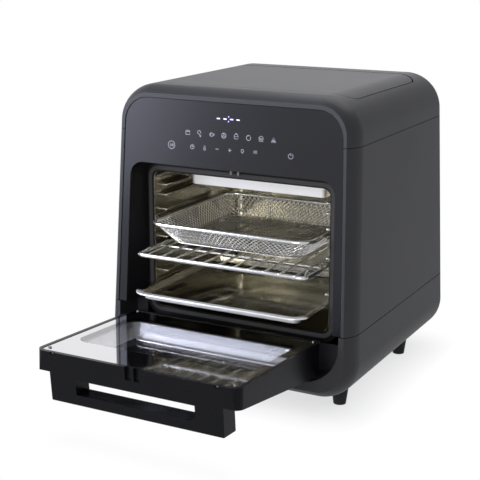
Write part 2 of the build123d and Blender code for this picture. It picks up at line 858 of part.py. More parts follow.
def window_cone(grow):
    """The window's passage, narrowing towards the outer glass."""
    with BuildPart() as cone:
        with BuildSketch(door_plane.offset(backing_low)):
            with Locations((0, window_middle)):
                RectangleRounded(2 * (window_half + grow), window_length + 2 * grow, window_corner + grow)
        with BuildSketch(door_plane.offset(backing_low + surround_depth)):
            with Locations((0, window_middle)):
                narrow = grow - surround_taper
                RectangleRounded(2 * (window_half + narrow), window_length + 2 * narrow, window_corner)
        loft()
    return cone.part


with BuildPart() as window_surround:
    with BuildSketch(door_plane.offset(backing_low)):
        with Locations((0, glass_middle)):
            RectangleRounded(2 * door_glass_half, glass_length, door_far_corner / 2)
    extrude(amount=backing)
    add(window_cone(surround_sheet))
    add(window_cone(0), mode=Mode.SUBTRACT)
save(window_surround.part, "window_surround")

with BuildPart() as door_outer_glass:
    with BuildSketch(outer_plane.offset(-outer_glass_thickness)):
        with Locations((0, (outer_glass_near + outer_glass_far - door_near) / 2)):
            RectangleRounded(
                2 * outer_glass_half,
                outer_glass_far - door_near - outer_glass_near - 2 * fit_gap,
                door_far_corner,
            )
    extrude(amount=outer_glass_thickness)
save(door_outer_glass.part, "door_outer_glass")

# Door handle: a bar along the far edge, standing off the outer face
handle_root = 0
handle_edge = 2


def far_edge(w):
    """Distance of the leaning far face from the hinge, at a depth through the door."""
    return door_far - far_lean * (w + door_depth)


with BuildPart() as door_handle:
    with BuildSketch(door_side):
        root_near = far_edge(outer_far) - handle_depth
        root_w = outer_far + wedge * handle_depth
        Polygon(
            (far_edge(outer_far), outer_far), (far_edge(handle_drop), handle_drop),
            (far_edge(handle_drop) - handle_depth, handle_drop), (root_near, root_w),
            align=None,
        )
    extrude(amount=handle_half, both=True)
    fillet(door_handle.faces().sort_by(Axis(door_plane.origin, door_plane.z_dir))[-1].edges(), handle_edge)
    with BuildSketch(door_plane.offset(handle_root)):
        with Locations((0, door_far)):
            Rectangle(2 * handle_slot_half, 4 * handle_depth)
    extrude(amount=handle_drop - handle_bar - handle_root, mode=Mode.SUBTRACT)
save(door_handle.part, "door_handle")

# Door hinges: an arm on each side of the door, its pin and the bracket in the pocket
with BuildPart() as door_hinge_arms:
    for side in (-1, 1):
        start = lug_x if side > 0 else -lug_x - lug_width
        with BuildSketch(door_side.offset(start)):
            Circle(lug_radius)
            with Locations((door_near / 2, 0)):
                Rectangle(door_near, 2 * lug_radius)
            Circle(pin_diameter / 2 + pin_clearance, mode=Mode.SUBTRACT)
        extrude(amount=lug_width)
save(door_hinge_arms.part, "door_hinge_arms")

bracket_half = 6.5
bracket_x = lug_x + lug_width + 2 * fit_gap
for name, side in (("door_hinge_left", -1), ("door_hinge_right", 1)):
    start = bracket_x if side > 0 else -bracket_x - bracket_thickness
    with BuildPart() as door_hinge:
        with BuildSketch(Plane.YZ.offset(start)):
            with Locations((hinge_y, hinge_z)):
                Circle(bracket_half)
            with Locations((hinge_y, (hinge_z + pocket_floor) / 2)):
                Rectangle(2 * bracket_half, hinge_z - pocket_floor)
            with Locations((hinge_y, hinge_z)):
                Circle(pin_diameter / 2 + pin_clearance, mode=Mode.SUBTRACT)
        extrude(amount=bracket_thickness)
    save(door_hinge.part, name)

with BuildPart() as door_hinge_pins:
    for side in (-1, 1):
        with Locations((side * (lug_x - 1), hinge_y, hinge_z)):
            reach = lug_width + bracket_thickness + 4
            Cylinder(
                pin_diameter / 2, reach, rotation=(0, side * 90, 0), align=(Align.CENTER, Align.CENTER, Align.MIN)
            )
save(door_hinge_pins.part, "door_hinge_pins")

# Lid, with its hinge arms under the rear edge
lid_arm_x = 88
lid_arm_width = 9
lid_arm_radius = 3.4
lid_inner = casing_skin(casing_wall, 0)

with BuildPart() as lid_panel:
    with BuildSketch(Plane.XY.offset(well_floor)):
        with Locations((0, lid_centre)):
            RectangleRounded(2 * lid_half, lid_depth, lid_corner)
    extrude(amount=casing_top)
    add(outer_skin, mode=Mode.INTERSECT)
    add(lid_inner, mode=Mode.SUBTRACT)
    for side in (-1, 1):
        start = side * (lid_arm_x + lid_arm_width / 2) - lid_arm_width / 2
        with BuildSketch(Plane.YZ.offset(start)):
            with Locations((lid_axis_y, lid_axis_z)):
                Circle(lid_arm_radius)
            with Locations((lid_axis_y, (lid_axis_z + casing_top - casing_wall / 2) / 2)):
                Rectangle(2 * lid_arm_radius, casing_top - casing_wall / 2 - lid_axis_z)
            with Locations((lid_axis_y, lid_axis_z)):
                Circle(lid_pin_diameter / 2 + pin_clearance, mode=Mode.SUBTRACT)
        extrude(amount=lid_arm_width)
save(lid_panel.part, "lid_panel")

# Tank well: the tray under the lid, hung from the top shell, with the lid's hinge posts
well_inset = 3.5
well_ledge = 2
well_corner = lid_corner / 2
well_rear = lid_rear + lid_rear_gap + fit_gap
post_thickness = 5
well_skin = casing_skin(casing_wall + fit_gap, rim_depth)
tank_half = 118
tank_front = -98
tank_rear = 78
tank_low = well_floor + well_wall + fit_gap
tank_wall = 2
tank_corner = 16
spout_x = -76
spout_y = 64
spout_radius = 7
spout_length = 8

with BuildPart() as tank_well:
    with BuildSketch(Plane.XY.offset(well_floor)):
        with Locations((0, (lid_front - lid_gap - well_ledge + well_rear + well_ledge) / 2)):
            RectangleRounded(
                2 * (lid_half + lid_gap + well_ledge),
                well_rear - lid_front + lid_gap + 2 * well_ledge,
                well_corner,
            )
    extrude(amount=casing_top)
    add(well_skin, mode=Mode.INTERSECT)
    with BuildSketch(Plane.XY.offset(well_floor + well_wall)):
        with Locations((0, (lid_front + well_inset + well_rear) / 2)):
            RectangleRounded(
                2 * (lid_half - well_inset), well_rear - lid_front - well_inset, lid_corner - well_inset
            )
    extrude(amount=casing_top, mode=Mode.SUBTRACT)
    with BuildSketch(Plane.XY.offset(lid_axis_z - lid_swing)):
        with Locations((0, lid_hole_centre)):
            RectangleRounded(2 * (lid_half + lid_gap), lid_hole_depth, well_corner)
        with Locations((0, lid_axis_y + lid_swing)):
            Rectangle(big, 2 * lid_swing, mode=Mode.INTERSECT)
    extrude(amount=casing_top, mode=Mode.SUBTRACT)
    for side in (-1, 1):
        for edge in (-lid_arm_width / 2 - fit_gap - post_thickness, lid_arm_width / 2 + fit_gap):
            with BuildSketch(Plane.YZ.offset(side * (lid_arm_x + lid_arm_width / 2) + edge)):
                with Locations((lid_axis_y, lid_axis_z)):
                    Circle(lid_arm_radius)
                with Locations((lid_axis_y, (lid_axis_z + well_floor + well_wall / 2) / 2)):
                    Rectangle(2 * lid_arm_radius, lid_axis_z - well_floor - well_wall / 2)
                with Locations((lid_axis_y, lid_axis_z)):
                    Circle(lid_pin_diameter / 2 + pin_clearance, mode=Mode.SUBTRACT)
            extrude(amount=post_thickness)
    with BuildSketch(Plane.XY.offset(well_floor)):
        with Locations((spout_x, spout_y)):
            Circle(spout_radius + fit_gap)
    extrude(amount=well_wall, mode=Mode.SUBTRACT)
save(tank_well.part, "tank_well")

with BuildPart() as lid_hinge_pins:
    for side in (-1, 1):
        with Locations((side * (lid_arm_x + lid_arm_width / 2), lid_axis_y, lid_axis_z)):
            reach = lid_arm_width + 2 * (post_thickness + fit_gap)
            Cylinder(lid_pin_diameter / 2, reach, rotation=(0, 90, 0))
save(lid_hinge_pins.part, "lid_hinge_pins")

# Water tank with its filler cap, standing in the well
cap_x = 70
cap_y = -30
cap_radius = 19

with BuildPart() as water_tank:
    with BuildSketch(Plane.XY.offset(tank_low)):
        with Locations((0, (tank_front + tank_rear) / 2)):
            RectangleRounded(2 * tank_half, tank_rear - tank_front, tank_corner)
    extrude(amount=tank_high - tank_low)
    with BuildSketch(Plane.XY.offset(tank_low + tank_wall)):
        with Locations((0, (tank_front + tank_rear) / 2)):
            RectangleRounded(
                2 * (tank_half - tank_wall), tank_rear - tank_front - 2 * tank_wall, tank_corner - tank_wall
            )
    extrude(amount=tank_high - tank_low - 2 * tank_wall, mode=Mode.SUBTRACT)
    with BuildSketch(Plane.XY.offset(tank_high - tank_wall)):
        with Locations((cap_x, cap_y)):
            Circle(cap_radius - 2 * tank_wall)
    extrude(amount=tank_wall, mode=Mode.SUBTRACT)
    with BuildSketch(Plane.XY.offset(well_floor - spout_length)):
        with Locations((spout_x, spout_y)):
            Circle(spout_radius)
    extrude(amount=tank_low + tank_wall - well_floor + spout_length)
    with BuildSketch(Plane.XY.offset(well_floor - spout_length)):
        with Locations((spout_x, spout_y)):
            Circle(spout_radius - tank_wall)
    extrude(amount=tank_low + tank_wall - well_floor + spout_length, mode=Mode.SUBTRACT)
save(water_tank.part, "water_tank")

with BuildPart() as tank_cap:
    with BuildSketch(Plane.XY.offset(tank_high)):
        with Locations((cap_x, cap_y)):
            Circle(cap_radius)
    extrude(amount=cap_height)
    fillet(tank_cap.edges().group_by(Axis.Z)[-1], tank_wall)
    with BuildSketch(Plane.XY.offset(tank_high + cap_height)):
        with Locations((cap_x, cap_y)):
            SlotOverall(1.3 * cap_radius, 2 * tank_wall)
    extrude(amount=-tank_wall, mode=Mode.SUBTRACT)
save(tank_cap.part, "tank_cap")

# Steam maker behind the oven's back wall, its pump, and the two water hoses
boiler_low = 196
boiler_high = 246
boiler_half = 34
boiler_front = 104
boiler_rear = 132
boiler_corner = 6
sleeve_wall = 4
pump_x = 24
pump_half = 18
pump_low = 206
pump_high = 244
pump_corner = 4
hose_radius = 3.5
hose_y = 118
hose_bend = 10
inlet_x = -40

with BuildPart() as steam_generator:
    with BuildSketch(y_plane(boiler_rear)):
        with Locations((steam_x, (boiler_low + boiler_high) / 2)):
            RectangleRounded(2 * boiler_half, boiler_high - boiler_low, boiler_corner)
    extrude(amount=boiler_rear - boiler_front)
    with BuildSketch(y_plane(boiler_front)):
        with Locations((steam_x, steam_z)):
            Circle(steam_radius)
    extrude(amount=boiler_front - cavity_rear)
    with BuildSketch(y_plane(boiler_front)):
        with Locations((steam_x, steam_z)):
            Circle(steam_radius + sleeve_wall)
    extrude(amount=boiler_front - cavity_rear - cavity_wall)
save(steam_generator.part, "steam_generator")

with BuildPart() as water_pump:
    with BuildSketch(Plane.XY.offset(pump_low)):
        with Locations((pump_x, hose_y)):
            RectangleRounded(2 * pump_half, boiler_rear - boiler_front, pump_corner)
    extrude(amount=pump_high - pump_low)
    with BuildSketch(y_plane(cavity_rear + cavity_wall)):
        with Locations((pump_x, (pump_low + pump_high) / 2)):
            Rectangle(pump_half, pump_half)
    extrude(amount=-(hose_y - cavity_rear - 12))
save(water_pump.part, "water_pump")


def hose(points, name):
    """A soft hose along a line of points, with rounded bends."""
    with BuildPart() as tube:
        with BuildLine() as path:
            FilletPolyline(*points, radius=hose_bend)
        with BuildSketch(Plane(origin=path.line @ 0, z_dir=path.line % 0)):
            Circle(hose_radius)
        sweep()
    save(tube.part, name)


spout_end = well_floor - spout_length
supply_z = spout_end - 18
delivery_z = boiler_high + 26
outlet_x = pump_x - 10
supply_points = [
    (spout_x, spout_y, spout_end),
    (spout_x, spout_y, supply_z),
    (spout_x, hose_y, supply_z),
    (pump_x, hose_y, supply_z),
    (pump_x, hose_y, pump_high),
]
delivery_points = [
    (inlet_x, hose_y, boiler_high),
    (inlet_x, hose_y, delivery_z),
    (outlet_x, hose_y, delivery_z),
    (outlet_x, hose_y, pump_high),
]
hose(supply_points, "supply_hose")
hose(delivery_points, "delivery_hose")

# Power board on the bottom shell's posts
board_margin = 10
board_parts = ((-48, 14, 34, 30, 24), (10, 20, 22, 26, 18), (44, -22, 26, 30, 20))

with BuildPart() as power_board:
    with BuildSketch(Plane.XY.offset(board_z)):
        Rectangle(2 * (board_post_x + board_margin), 2 * (board_post_y + board_margin))
    extrude(amount=board_thickness)
    for x, y, width, depth, height in board_parts:
        with BuildSketch(Plane.XY.offset(board_z + board_thickness)):
            with Locations((x, y)):
                RectangleRounded(width, depth, 2)
        extrude(amount=height)
save(power_board.part, "power_board")

# Cord gland in the rear panel
with BuildPart() as cord_gland:
    with BuildSketch(rear_plane.offset(-2 * casing_wall)):
        with Locations((-gland_x, up_rear(gland_z))):
            Circle(gland_radius)
            Circle(gland_radius / 2, mode=Mode.SUBTRACT)
    extrude(amount=2 * casing_wall + fit_gap)
    with BuildSketch(rear_plane):
        with Locations((-gland_x, up_rear(gland_z))):
            Circle(gland_radius + 3)
            Circle(gland_radius / 2, mode=Mode.SUBTRACT)
    extrude(amount=4)
save(cord_gland.part, "cord_gland")

# Screws that hold the rear panel
screw_x = 112
screw_heights = (low_seam + 15, (low_seam + high_seam) / 2, high_seam - 14)
screw_radius = 3.4
screw_head = 1.6

with BuildPart() as rear_screws:
    for x in (-screw_x, screw_x):
        for z in screw_heights:
            with BuildSketch(rear_plane):
                with Locations((x, up_rear(z))):
                    Circle(screw_radius)
            extrude(amount=screw_head)
save(rear_screws.part, "rear_screws")


def rod_loop(half, front, length, z, corner, diameter):
    """A bent rod closed into a rounded rectangle."""
    inset = diameter / 2
    with BuildSketch(Plane.XY.offset(z)) as shape:
        with Locations((0, front + length / 2)):
            RectangleRounded(2 * (half - inset), length - diameter, corner - inset)
    loop = shape.sketch.faces()[0].outer_wire()
    with BuildPart() as rod:
        with BuildSketch(Plane(origin=loop @ 0, z_dir=loop % 0)):
            Circle(diameter / 2)
        sweep(path=loop)
    return rod.part


# Mesh basket: a rod rim with a sloping mesh tub hung from it
save(rod_loop(basket_half, basket_front, basket_length, basket_z, basket_corner, basket_rod), "basket_rim")


def basket_tub(grow):
    """The basket's tub, narrowing towards its floor."""
    half = basket_half - basket_rod + grow
    length = basket_length - 2 * basket_rod + 2 * grow
    middle = basket_front + basket_length / 2
    with BuildPart() as tub:
        with BuildSketch(Plane.XY.offset(basket_z)):
            with Locations((0, middle)):
                RectangleRounded(2 * half, length, basket_corner - basket_rod + grow)
        with BuildSketch(Plane.XY.offset(basket_z - basket_depth - grow)):
            with Locations((0, middle)):
                RectangleRounded(
                    2 * (half - basket_slope), length - 2 * basket_slope, basket_corner - basket_rod + grow
                )
        loft()
    return tub.part


with BuildPart() as basket_mesh:
    add(basket_tub(0))
    add(basket_tub(-basket_sheet), mode=Mode.SUBTRACT)
    with BuildSketch(Plane.XY.offset(basket_z - basket_depth)):
        with Locations((0, basket_front + basket_length / 2)):
            floor_half = basket_half - basket_rod - basket_slope
            floor_length = basket_length - 2 * basket_rod - 2 * basket_slope
            columns = int(2 * (floor_half - 4) / net_pitch)
            rows = int((floor_length - 8) / net_pitch)
            with GridLocations(net_pitch, net_pitch, columns, rows):
                Rectangle(net_gap, net_gap)
    extrude(amount=2 * basket_sheet, mode=Mode.SUBTRACT)
save(basket_mesh.part, "basket_mesh")

# Wire rack: a rod frame with wires laid across it
rack_cross = (55, 150)

with BuildPart() as wire_rack:
    add(rod_loop(rack_half, rack_front, rack_length, rack_z, rack_corner, rack_rod))
    wire_length = rack_length - rack_rod
    for index in range(rack_wire_count):
        x = (index - (rack_wire_count - 1) / 2) * rack_wire_pitch
        with Locations((x, rack_front + rack_length / 2, rack_z + 1)):
            Cylinder(rack_wire / 2, wire_length, rotation=(90, 0, 0))
    for step in rack_cross:
        with Locations((0, rack_front + step, rack_z - 1)):
            Cylinder(rack_wire / 2, 2 * rack_half - rack_rod, rotation=(0, 90, 0))
save(wire_rack.part, "wire_rack")

# Baking tray: a shallow pan with a flat rim
with BuildPart() as baking_tray:
    tray_middle = tray_front + tray_length / 2
    with BuildSketch(Plane.XY.offset(tray_z)):
        with Locations((0, tray_middle)):
            RectangleRounded(2 * tray_half, tray_length, tray_corner + tray_rim / 2)
    extrude(amount=-tray_sheet)
    with BuildSketch(Plane.XY.offset(tray_z)):
        with Locations((0, tray_middle)):
            RectangleRounded(2 * (tray_half - tray_rim), tray_length - 2 * tray_rim, tray_corner)
    extrude(amount=-tray_depth, taper=tray_taper)
    with BuildSketch(Plane.XY.offset(tray_z)):
        with Locations((0, tray_middle)):
            pan_half = tray_half - tray_rim - tray_sheet
            pan_length = tray_length - 2 * (tray_rim + tray_sheet)
            RectangleRounded(2 * pan_half, pan_length, tray_corner - tray_sheet)
    extrude(amount=tray_sheet - tray_depth, taper=tray_taper, mode=Mode.SUBTRACT)
save(baking_tray.part, "baking_tray")
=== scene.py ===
import bpy
import math
from mathutils import Matrix, Vector


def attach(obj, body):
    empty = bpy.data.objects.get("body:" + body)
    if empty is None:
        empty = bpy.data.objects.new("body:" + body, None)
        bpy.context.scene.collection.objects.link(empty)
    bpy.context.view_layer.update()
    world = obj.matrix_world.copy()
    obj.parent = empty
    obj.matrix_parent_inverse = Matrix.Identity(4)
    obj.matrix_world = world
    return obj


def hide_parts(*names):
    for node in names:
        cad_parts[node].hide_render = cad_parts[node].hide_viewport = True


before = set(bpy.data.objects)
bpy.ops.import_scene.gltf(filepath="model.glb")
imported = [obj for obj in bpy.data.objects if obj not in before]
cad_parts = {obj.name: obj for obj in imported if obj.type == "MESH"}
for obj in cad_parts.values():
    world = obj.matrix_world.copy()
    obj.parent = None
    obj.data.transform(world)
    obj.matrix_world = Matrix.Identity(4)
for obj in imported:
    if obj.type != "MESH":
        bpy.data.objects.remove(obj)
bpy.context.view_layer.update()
mm = 0.001
print("stage: frame loaded")


# selection and finishing

def clearSelection():
    if bpy.context.mode != "OBJECT":
        bpy.ops.object.mode_set(mode="OBJECT")
    bpy.ops.object.select_all(action="DESELECT")


def pick(piece):
    clearSelection()
    piece.select_set(True)
    bpy.context.view_layer.objects.active = piece
    return piece


def fixPlace(piece):  # bakes the object's place into its mesh
    pick(piece)
    bpy.ops.object.transform_apply(location=True, rotation=True, scale=True)
    return piece


def applyModifier(piece, kind, **settings):
    pick(piece)
    modifier = piece.modifiers.new(kind.title(), kind)
    for key, value in settings.items():
        setattr(modifier, key, value)
    bpy.ops.object.modifier_apply(modifier=modifier.name)
    return piece


def smooth(piece, angle):
    pick(piece)
    bpy.ops.object.shade_smooth_by_angle(angle=math.radians(angle))
    return piece


def outward(piece):
    pick(piece)
    bpy.ops.object.mode_set(mode="EDIT")
    bpy.ops.mesh.select_all(action="SELECT")
    bpy.ops.mesh.remove_doubles(threshold=0.002 * mm)
    bpy.ops.mesh.normals_make_consistent(inside=False)
    bpy.ops.object.mode_set(mode="OBJECT")
    return piece


def dress(piece, name, body, finish, slotName, *nodes):
    piece.name = name
    piece.data.name = name
    piece.data.materials.clear()
    piece.data.materials.append(finish)
    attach(piece, body)
    if nodes:
        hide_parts(*nodes)
    return piece


def joinPieces(pieces):
    clearSelection()
    for piece in pieces:
        piece.select_set(True)
    bpy.context.view_layer.objects.active = pieces[0]
    bpy.ops.object.join()
    return bpy.context.view_layer.objects.active


# shader maths: a socket that takes part in Python expressions

class Wire:
    def __init__(self, shading, socket):
        self.shading = shading
        self.socket = socket

    def sum(self, operation, *values):
        return self.shading.node("ShaderNodeMath", {"operation": operation}, dict(enumerate(values)))

    def __add__(self, other):
        return self.sum("ADD", self, other)

    def __sub__(self, other):
        return self.sum("SUBTRACT", self, other)

    def __mul__(self, other):
        return self.sum("MULTIPLY", self, other)

    def __pow__(self, other):
        return self.sum("POWER", self, other)

    def __radd__(self, other):
        return self.sum("ADD", other, self)

    def __rsub__(self, other):
        return self.sum("SUBTRACT", other, self)

    def __rmul__(self, other):
        return self.sum("MULTIPLY", other, self)

    def over(self, other):  # the larger of two values
        return self.sum("MAXIMUM", self, other)

    def under(self, other):  # the smaller of two values
        return self.sum("MINIMUM", self, other)

    def size(self):  # the value without its sign
        return self.sum("ABSOLUTE", self)

    def step(self, low, high):  # a smooth rise from 0 to 1
        settings = {"interpolation_type": "SMOOTHSTEP"}
        values = {"Value": self, "From Min": low, "From Max": high}
        return self.shading.node("ShaderNodeMapRange", settings, values)


class Shading:
    def __init__(self, name, world=False):
        self.data = bpy.data.worlds.new(name) if world else bpy.data.materials.new(name)
        self.data.use_nodes = True
        self.tree = self.data.node_tree
        self.tree.nodes.clear()
        kind = "ShaderNodeOutputWorld" if world else "ShaderNodeOutputMaterial"
        self.output = self.tree.nodes.new(kind)

    def node(self, kind, settings=None, values=None, output=0):
        made = self.tree.nodes.new(kind)
        for key, value in (settings or {}).items():
            setattr(made, key, value)
        for key, value in (values or {}).items():
            self.set(made.inputs[key], value)
        return Wire(self, made.outputs[output])

    def set(self, socket, value):
        if isinstance(value, Wire):
            self.tree.links.new(value.socket, socket)
        elif socket.type == "RGBA" and len(value) == 3:
            socket.default_value = (*value, 1)
        else:
            socket.default_value = value

    def place(self):
        return self.node("ShaderNodeTexCoord", output="Object")

    def along(self):  # the three object coordinates
        split = self.node("ShaderNodeSeparateXYZ", values={"Vector": self.place()})
        outputs = split.socket.node.outputs
        return [Wire(self, outputs[axis]) for axis in ("X", "Y", "Z")]

    def stretched(self, stretch):
        return self.node("ShaderNodeMapping", values={"Vector": self.place(), "Scale": stretch})

    def noise(self, scale, detail=3, roughness=0.55, stretch=None):
        vector = self.stretched(stretch) if stretch else self.place()
        values = {"Vector": vector, "Scale": scale, "Detail": detail, "Roughness": roughness}
        return self.node("ShaderNodeTexNoise", values=values)

    def cells(self, scale, stretch):
        values = {"Vector": self.stretched(stretch), "Scale": scale}
        return self.node("ShaderNodeTexVoronoi", {"feature": "F1"}, values)

    def tint(self, factor, first, second):
        made = self.tree.nodes.new("ShaderNodeMix")
        made.data_type = "RGBA"
        for name, value in (("Factor_Float", factor), ("A_Color", first), ("B_Color", second)):
            socket = next(s for s in made.inputs if s.identifier == name)
            self.set(socket, value)
        return Wire(self, next(s for s in made.outputs if s.identifier == "Result_Color"))

    def bump(self, height, strength, distance):
        values = {"Height": height, "Strength": strength, "Distance": distance}
        return self.node("ShaderNodeBump", values=values)

    def surface(self, **values):
        named = {key.replace("_", " "): value for key, value in values.items()}
        return self.node("ShaderNodeBsdfPrincipled", values=named)

    def blend(self, factor, first, second):
        return self.node("ShaderNodeMixShader", values={0: factor, 1: first, 2: second})

    def forEachRay(self, plain, mirrored, seen):  # a shader to light by, one for reflections, one for the eye
        outputs = self.tree.nodes.new("ShaderNodeLightPath").outputs
        camera, glossy, through = (
            Wire(self, outputs[f"Is {kind} Ray"]) for kind in ("Camera", "Glossy", "Transmission"))
        return self.blend(camera.over(through), self.blend(glossy, plain, mirrored), seen)

    def finish(self, shader):
        self.tree.links.new(shader.socket, self.output.inputs["Surface"])
        return self.data


# finishes

def grainedPlastic(name, colour, gloss, grain, specular, scale=1700):
    s = Shading(name)
    cloud = s.noise(9, 2)
    fine = s.noise(scale, 2)
    colourMix = s.tint(cloud * 0.8 + fine * 0.2, [c * 0.86 for c in colour], [c * 1.14 for c in colour])
    height = fine + s.noise(scale * 0.35, 2) * 0.6
    rough = gloss + (cloud - 0.5) * 0.07 + (fine - 0.5) * 0.08
    return s.finish(s.surface(
        Base_Color=colourMix, Roughness=rough, Specular_IOR_Level=specular,
        Normal=s.bump(height, grain, 0.15 * mm)))


def brushedSteel(name, colour, gloss, stretch, streak=0.16, grain=0.12):
    s = Shading(name)
    lines = s.noise(620, 3, stretch=stretch)
    cloud = s.noise(14, 3)
    colourMix = s.tint(cloud * 0.7 + lines * 0.3, [c * 0.82 for c in colour], colour)
    rough = gloss + (lines - 0.5) * streak + (cloud - 0.5) * 0.1
    return s.finish(s.surface(
        Base_Color=colourMix, Metallic=1.0, Roughness=rough.over(0.04),
        Normal=s.bump(lines, grain, 0.05 * mm)))


def polishedMetal(name, colour, gloss, waves, metallic=1.0):
    s = Shading(name)
    cloud = s.noise(16, 3)
    scratches = s.noise(500, 2, stretch=(1, 8, 1))
    colourMix = s.tint(cloud, [c * 0.85 for c in colour], colour)
    rough = gloss + (cloud - 0.5) * 0.08 + (scratches - 0.5) * 0.05
    return s.finish(s.surface(
        Base_Color=colourMix, Metallic=metallic, Roughness=rough.over(0.03),
        Normal=s.bump(s.noise(22, 1), waves, 0.3 * mm)))


glassIndex = 1.52


def clearGlass(name, colour, rough=0.03):
    s = Shading(name)
    smear = s.noise(26, 3)
    veil = s.surface(
        Base_Color=s.tint(smear, colour, [c * 1.3 for c in colour]), Roughness=rough + smear * 0.05,
        IOR=glassIndex)
    pane = s.node("ShaderNodeBsdfTransparent", values={"Color": (0.8, 0.82, 0.83)})
    edge = s.node("ShaderNodeLayerWeight", values={"Blend": 0.35}, output="Facing")
    return s.finish(s.blend((edge * 0.5 + 0.16 + smear * 0.06).under(1), pane, veil))


casing = grainedPlastic("casingPlastic", (0.021, 0.021, 0.024), 0.43, 0.3, 0.42)
blackPlastic = grainedPlastic("blackPlastic", (0.004, 0.004, 0.005), 0.26, 0.1, 0.14)
mouthPlastic = grainedPlastic("mouthPlastic", (0.005, 0.005, 0.006), 0.4, 0.14, 0.2)
wellPlastic = grainedPlastic("wellPlastic", (0.05, 0.05, 0.055), 0.5, 0.25, 0.4)
footRubber = grainedPlastic("footRubber", (0.013, 0.013, 0.013), 0.62, 0.5, 0.3, 900)
sealRubber = grainedPlastic("sealRubber", (0.035, 0.034, 0.033), 0.7, 0.5, 0.3, 900)
whitePlastic = grainedPlastic("whitePlastic", (0.62, 0.62, 0.6), 0.45, 0.15, 0.45)
hoseRubber = grainedPlastic("hoseRubber", (0.52, 0.5, 0.44), 0.4, 0.1, 0.4)
linerSteel = brushedSteel("linerSteel", (0.52, 0.495, 0.41), 0.19, (1, 0.05, 1), 0.04, 0.015)
plainSteel = brushedSteel("plainSteel", (0.55, 0.54, 0.52), 0.3, (0.06, 1, 1))
guardSteel = polishedMetal("guardSteel", (0.93, 0.92, 0.89), 0.33, 0.03, 0.6)
wireChrome = polishedMetal("wireChrome", (0.93, 0.925, 0.9), 0.22, 0.02, 0.95)
enamelBlack = grainedPlastic("enamelBlack", (0.005, 0.005, 0.005), 0.3, 0.05, 0.2)
trimChrome = polishedMetal("trimChrome", (0.9, 0.905, 0.91), 0.29, 0.0, 0.8)
castAluminium = polishedMetal("castAluminium", (0.55, 0.55, 0.54), 0.45, 0.5)
heaterSteel = polishedMetal("heaterSteel", (0.22, 0.2, 0.19), 0.42, 0.3)
outerGlass = clearGlass("outerGlass", (0.006, 0.006, 0.007))
tankPlastic = clearGlass("tankPlastic", (0.32, 0.36, 0.4), 0.26)
lampGlass = clearGlass("lampGlass", (0.75, 0.72, 0.6), 0.05)


trayPaintedHighlight = {"start": 168, "full": 177}  # where the front wall's painted highlight starts and is full, in millimetres before the origin
netShade = {"dark": 179.4, "bright": 183}  # heights of the net's floor and of its walls' foot, between which the painted shade fades


def paintedLightTray(name):  # painted light: a mirror floor toned dark as painted shade, and a front wall painted bright where the studio light reaches
    s = Shading(name)
    y = s.along()[1]
    cloud = s.noise(16, 3)
    # painted highlight: the front wall is painted near white, less metallic and rougher, as if lit; the
    # floor's darker steel tones are painted shade
    front = (y * -1000).step(trayPaintedHighlight["start"], trayPaintedHighlight["full"])
    base = s.tint(front, s.tint(cloud, (0.4, 0.385, 0.33), (0.5, 0.485, 0.42)), (0.93, 0.93, 0.91))
    return s.finish(s.surface(Base_Color=base, Metallic=1 - front * 0.45,
                              Roughness=0.1 + front * 0.14 + (cloud - 0.5) * 0.05))


def wovenWire(name):  # the net's floor hangs in the oven's shade, so it is painted darker than its walls: painted shade
    s = Shading(name)
    z = s.along()[2]
    cloud = s.noise(16, 3)
    wall = (z * 1000).step(netShade["dark"], netShade["bright"])
    # painted shade: below the walls' foot the wires are tinted dark
    base = s.tint(wall, (0.3, 0.29, 0.25), s.tint(cloud, (0.86, 0.855, 0.82), (0.96, 0.95, 0.92)))
    return s.finish(s.surface(Base_Color=base, Metallic=0.85, Roughness=0.27 + (cloud - 0.5) * 0.08,
                              Normal=s.bump(s.noise(22, 1), 0.02, 0.3 * mm)))


def blackGlass(name):  # the control panel: black print under satin glass
    s = Shading(name)
    haze = s.noise(5, 2)
    dust = s.noise(900, 2)
    base = s.tint(haze, (0.0075, 0.0075, 0.009), (0.011, 0.011, 0.013))
    rough = 0.22 + (haze - 0.5) * 0.05 + (dust - 0.5) * 0.03
    return s.finish(s.surface(Base_Color=base, Roughness=rough, IOR=1.5, Specular_IOR_Level=0.4,
                              Normal=s.bump(dust, 0.04, 0.02 * mm)))


door = {"turn": math.radians(86.6), "hingeY": -152.5 * mm, "hingeZ": 65 * mm}  # open as in the photograph
doorWindow = {"half": 109.5, "near": 36.5, "far": 156.5, "corner": 16, "edge": 0.2}


def coatedGlass(name):  # a black printed border round a clear window, both strongly reflecting
    s = Shading(name)
    x, y, z = s.along()
    across = x.size() * 1000
    up, back = z - door["hingeZ"], y - door["hingeY"]
    reach = (up * math.cos(door["turn"]) - back * math.sin(door["turn"])) * 1000  # away from the hinge
    middle = (doorWindow["near"] + doorWindow["far"]) / 2
    corner = doorWindow["corner"]
    aside = (across - (doorWindow["half"] - corner)).over(0)
    ahead = ((reach - middle).size() - (doorWindow["far"] - middle - corner)).over(0)
    border = (aside * aside + ahead * ahead) ** 0.5
    printed = border.step(corner - doorWindow["edge"], corner + doorWindow["edge"])
    smear = s.noise(18, 3)
    slope = s.node("ShaderNodeLayerWeight", values={"Blend": 0.5}, output="Facing")
    ink = s.surface(Base_Color=(0.005, 0.005, 0.006), Roughness=0.05 + smear * 0.05, IOR=glassIndex)
    mirror = s.surface(Base_Color=(0.66, 0.66, 0.68), Metallic=1.0, Roughness=0.03 + smear * 0.04)
    frit = s.blend(slope.step(0.38, 0.62) * 0.92, ink, mirror)
    veil = s.surface(Base_Color=(0.003, 0.003, 0.0035), Roughness=0.02 + smear * 0.03, IOR=glassIndex)
    pane = s.node("ShaderNodeBsdfTransparent", values={"Color": (0.97, 0.97, 0.98)})
    shine = s.node("ShaderNodeBsdfGlossy", values={"Color": (0.9, 0.9, 0.92), "Roughness": 0.03})
    window = s.blend(slope.step(0.3, 0.95) * 0.5 + 0.04, s.blend(0.02 + smear * 0.03, pane, veil), shine)
    return s.finish(s.blend(printed, window, frit))


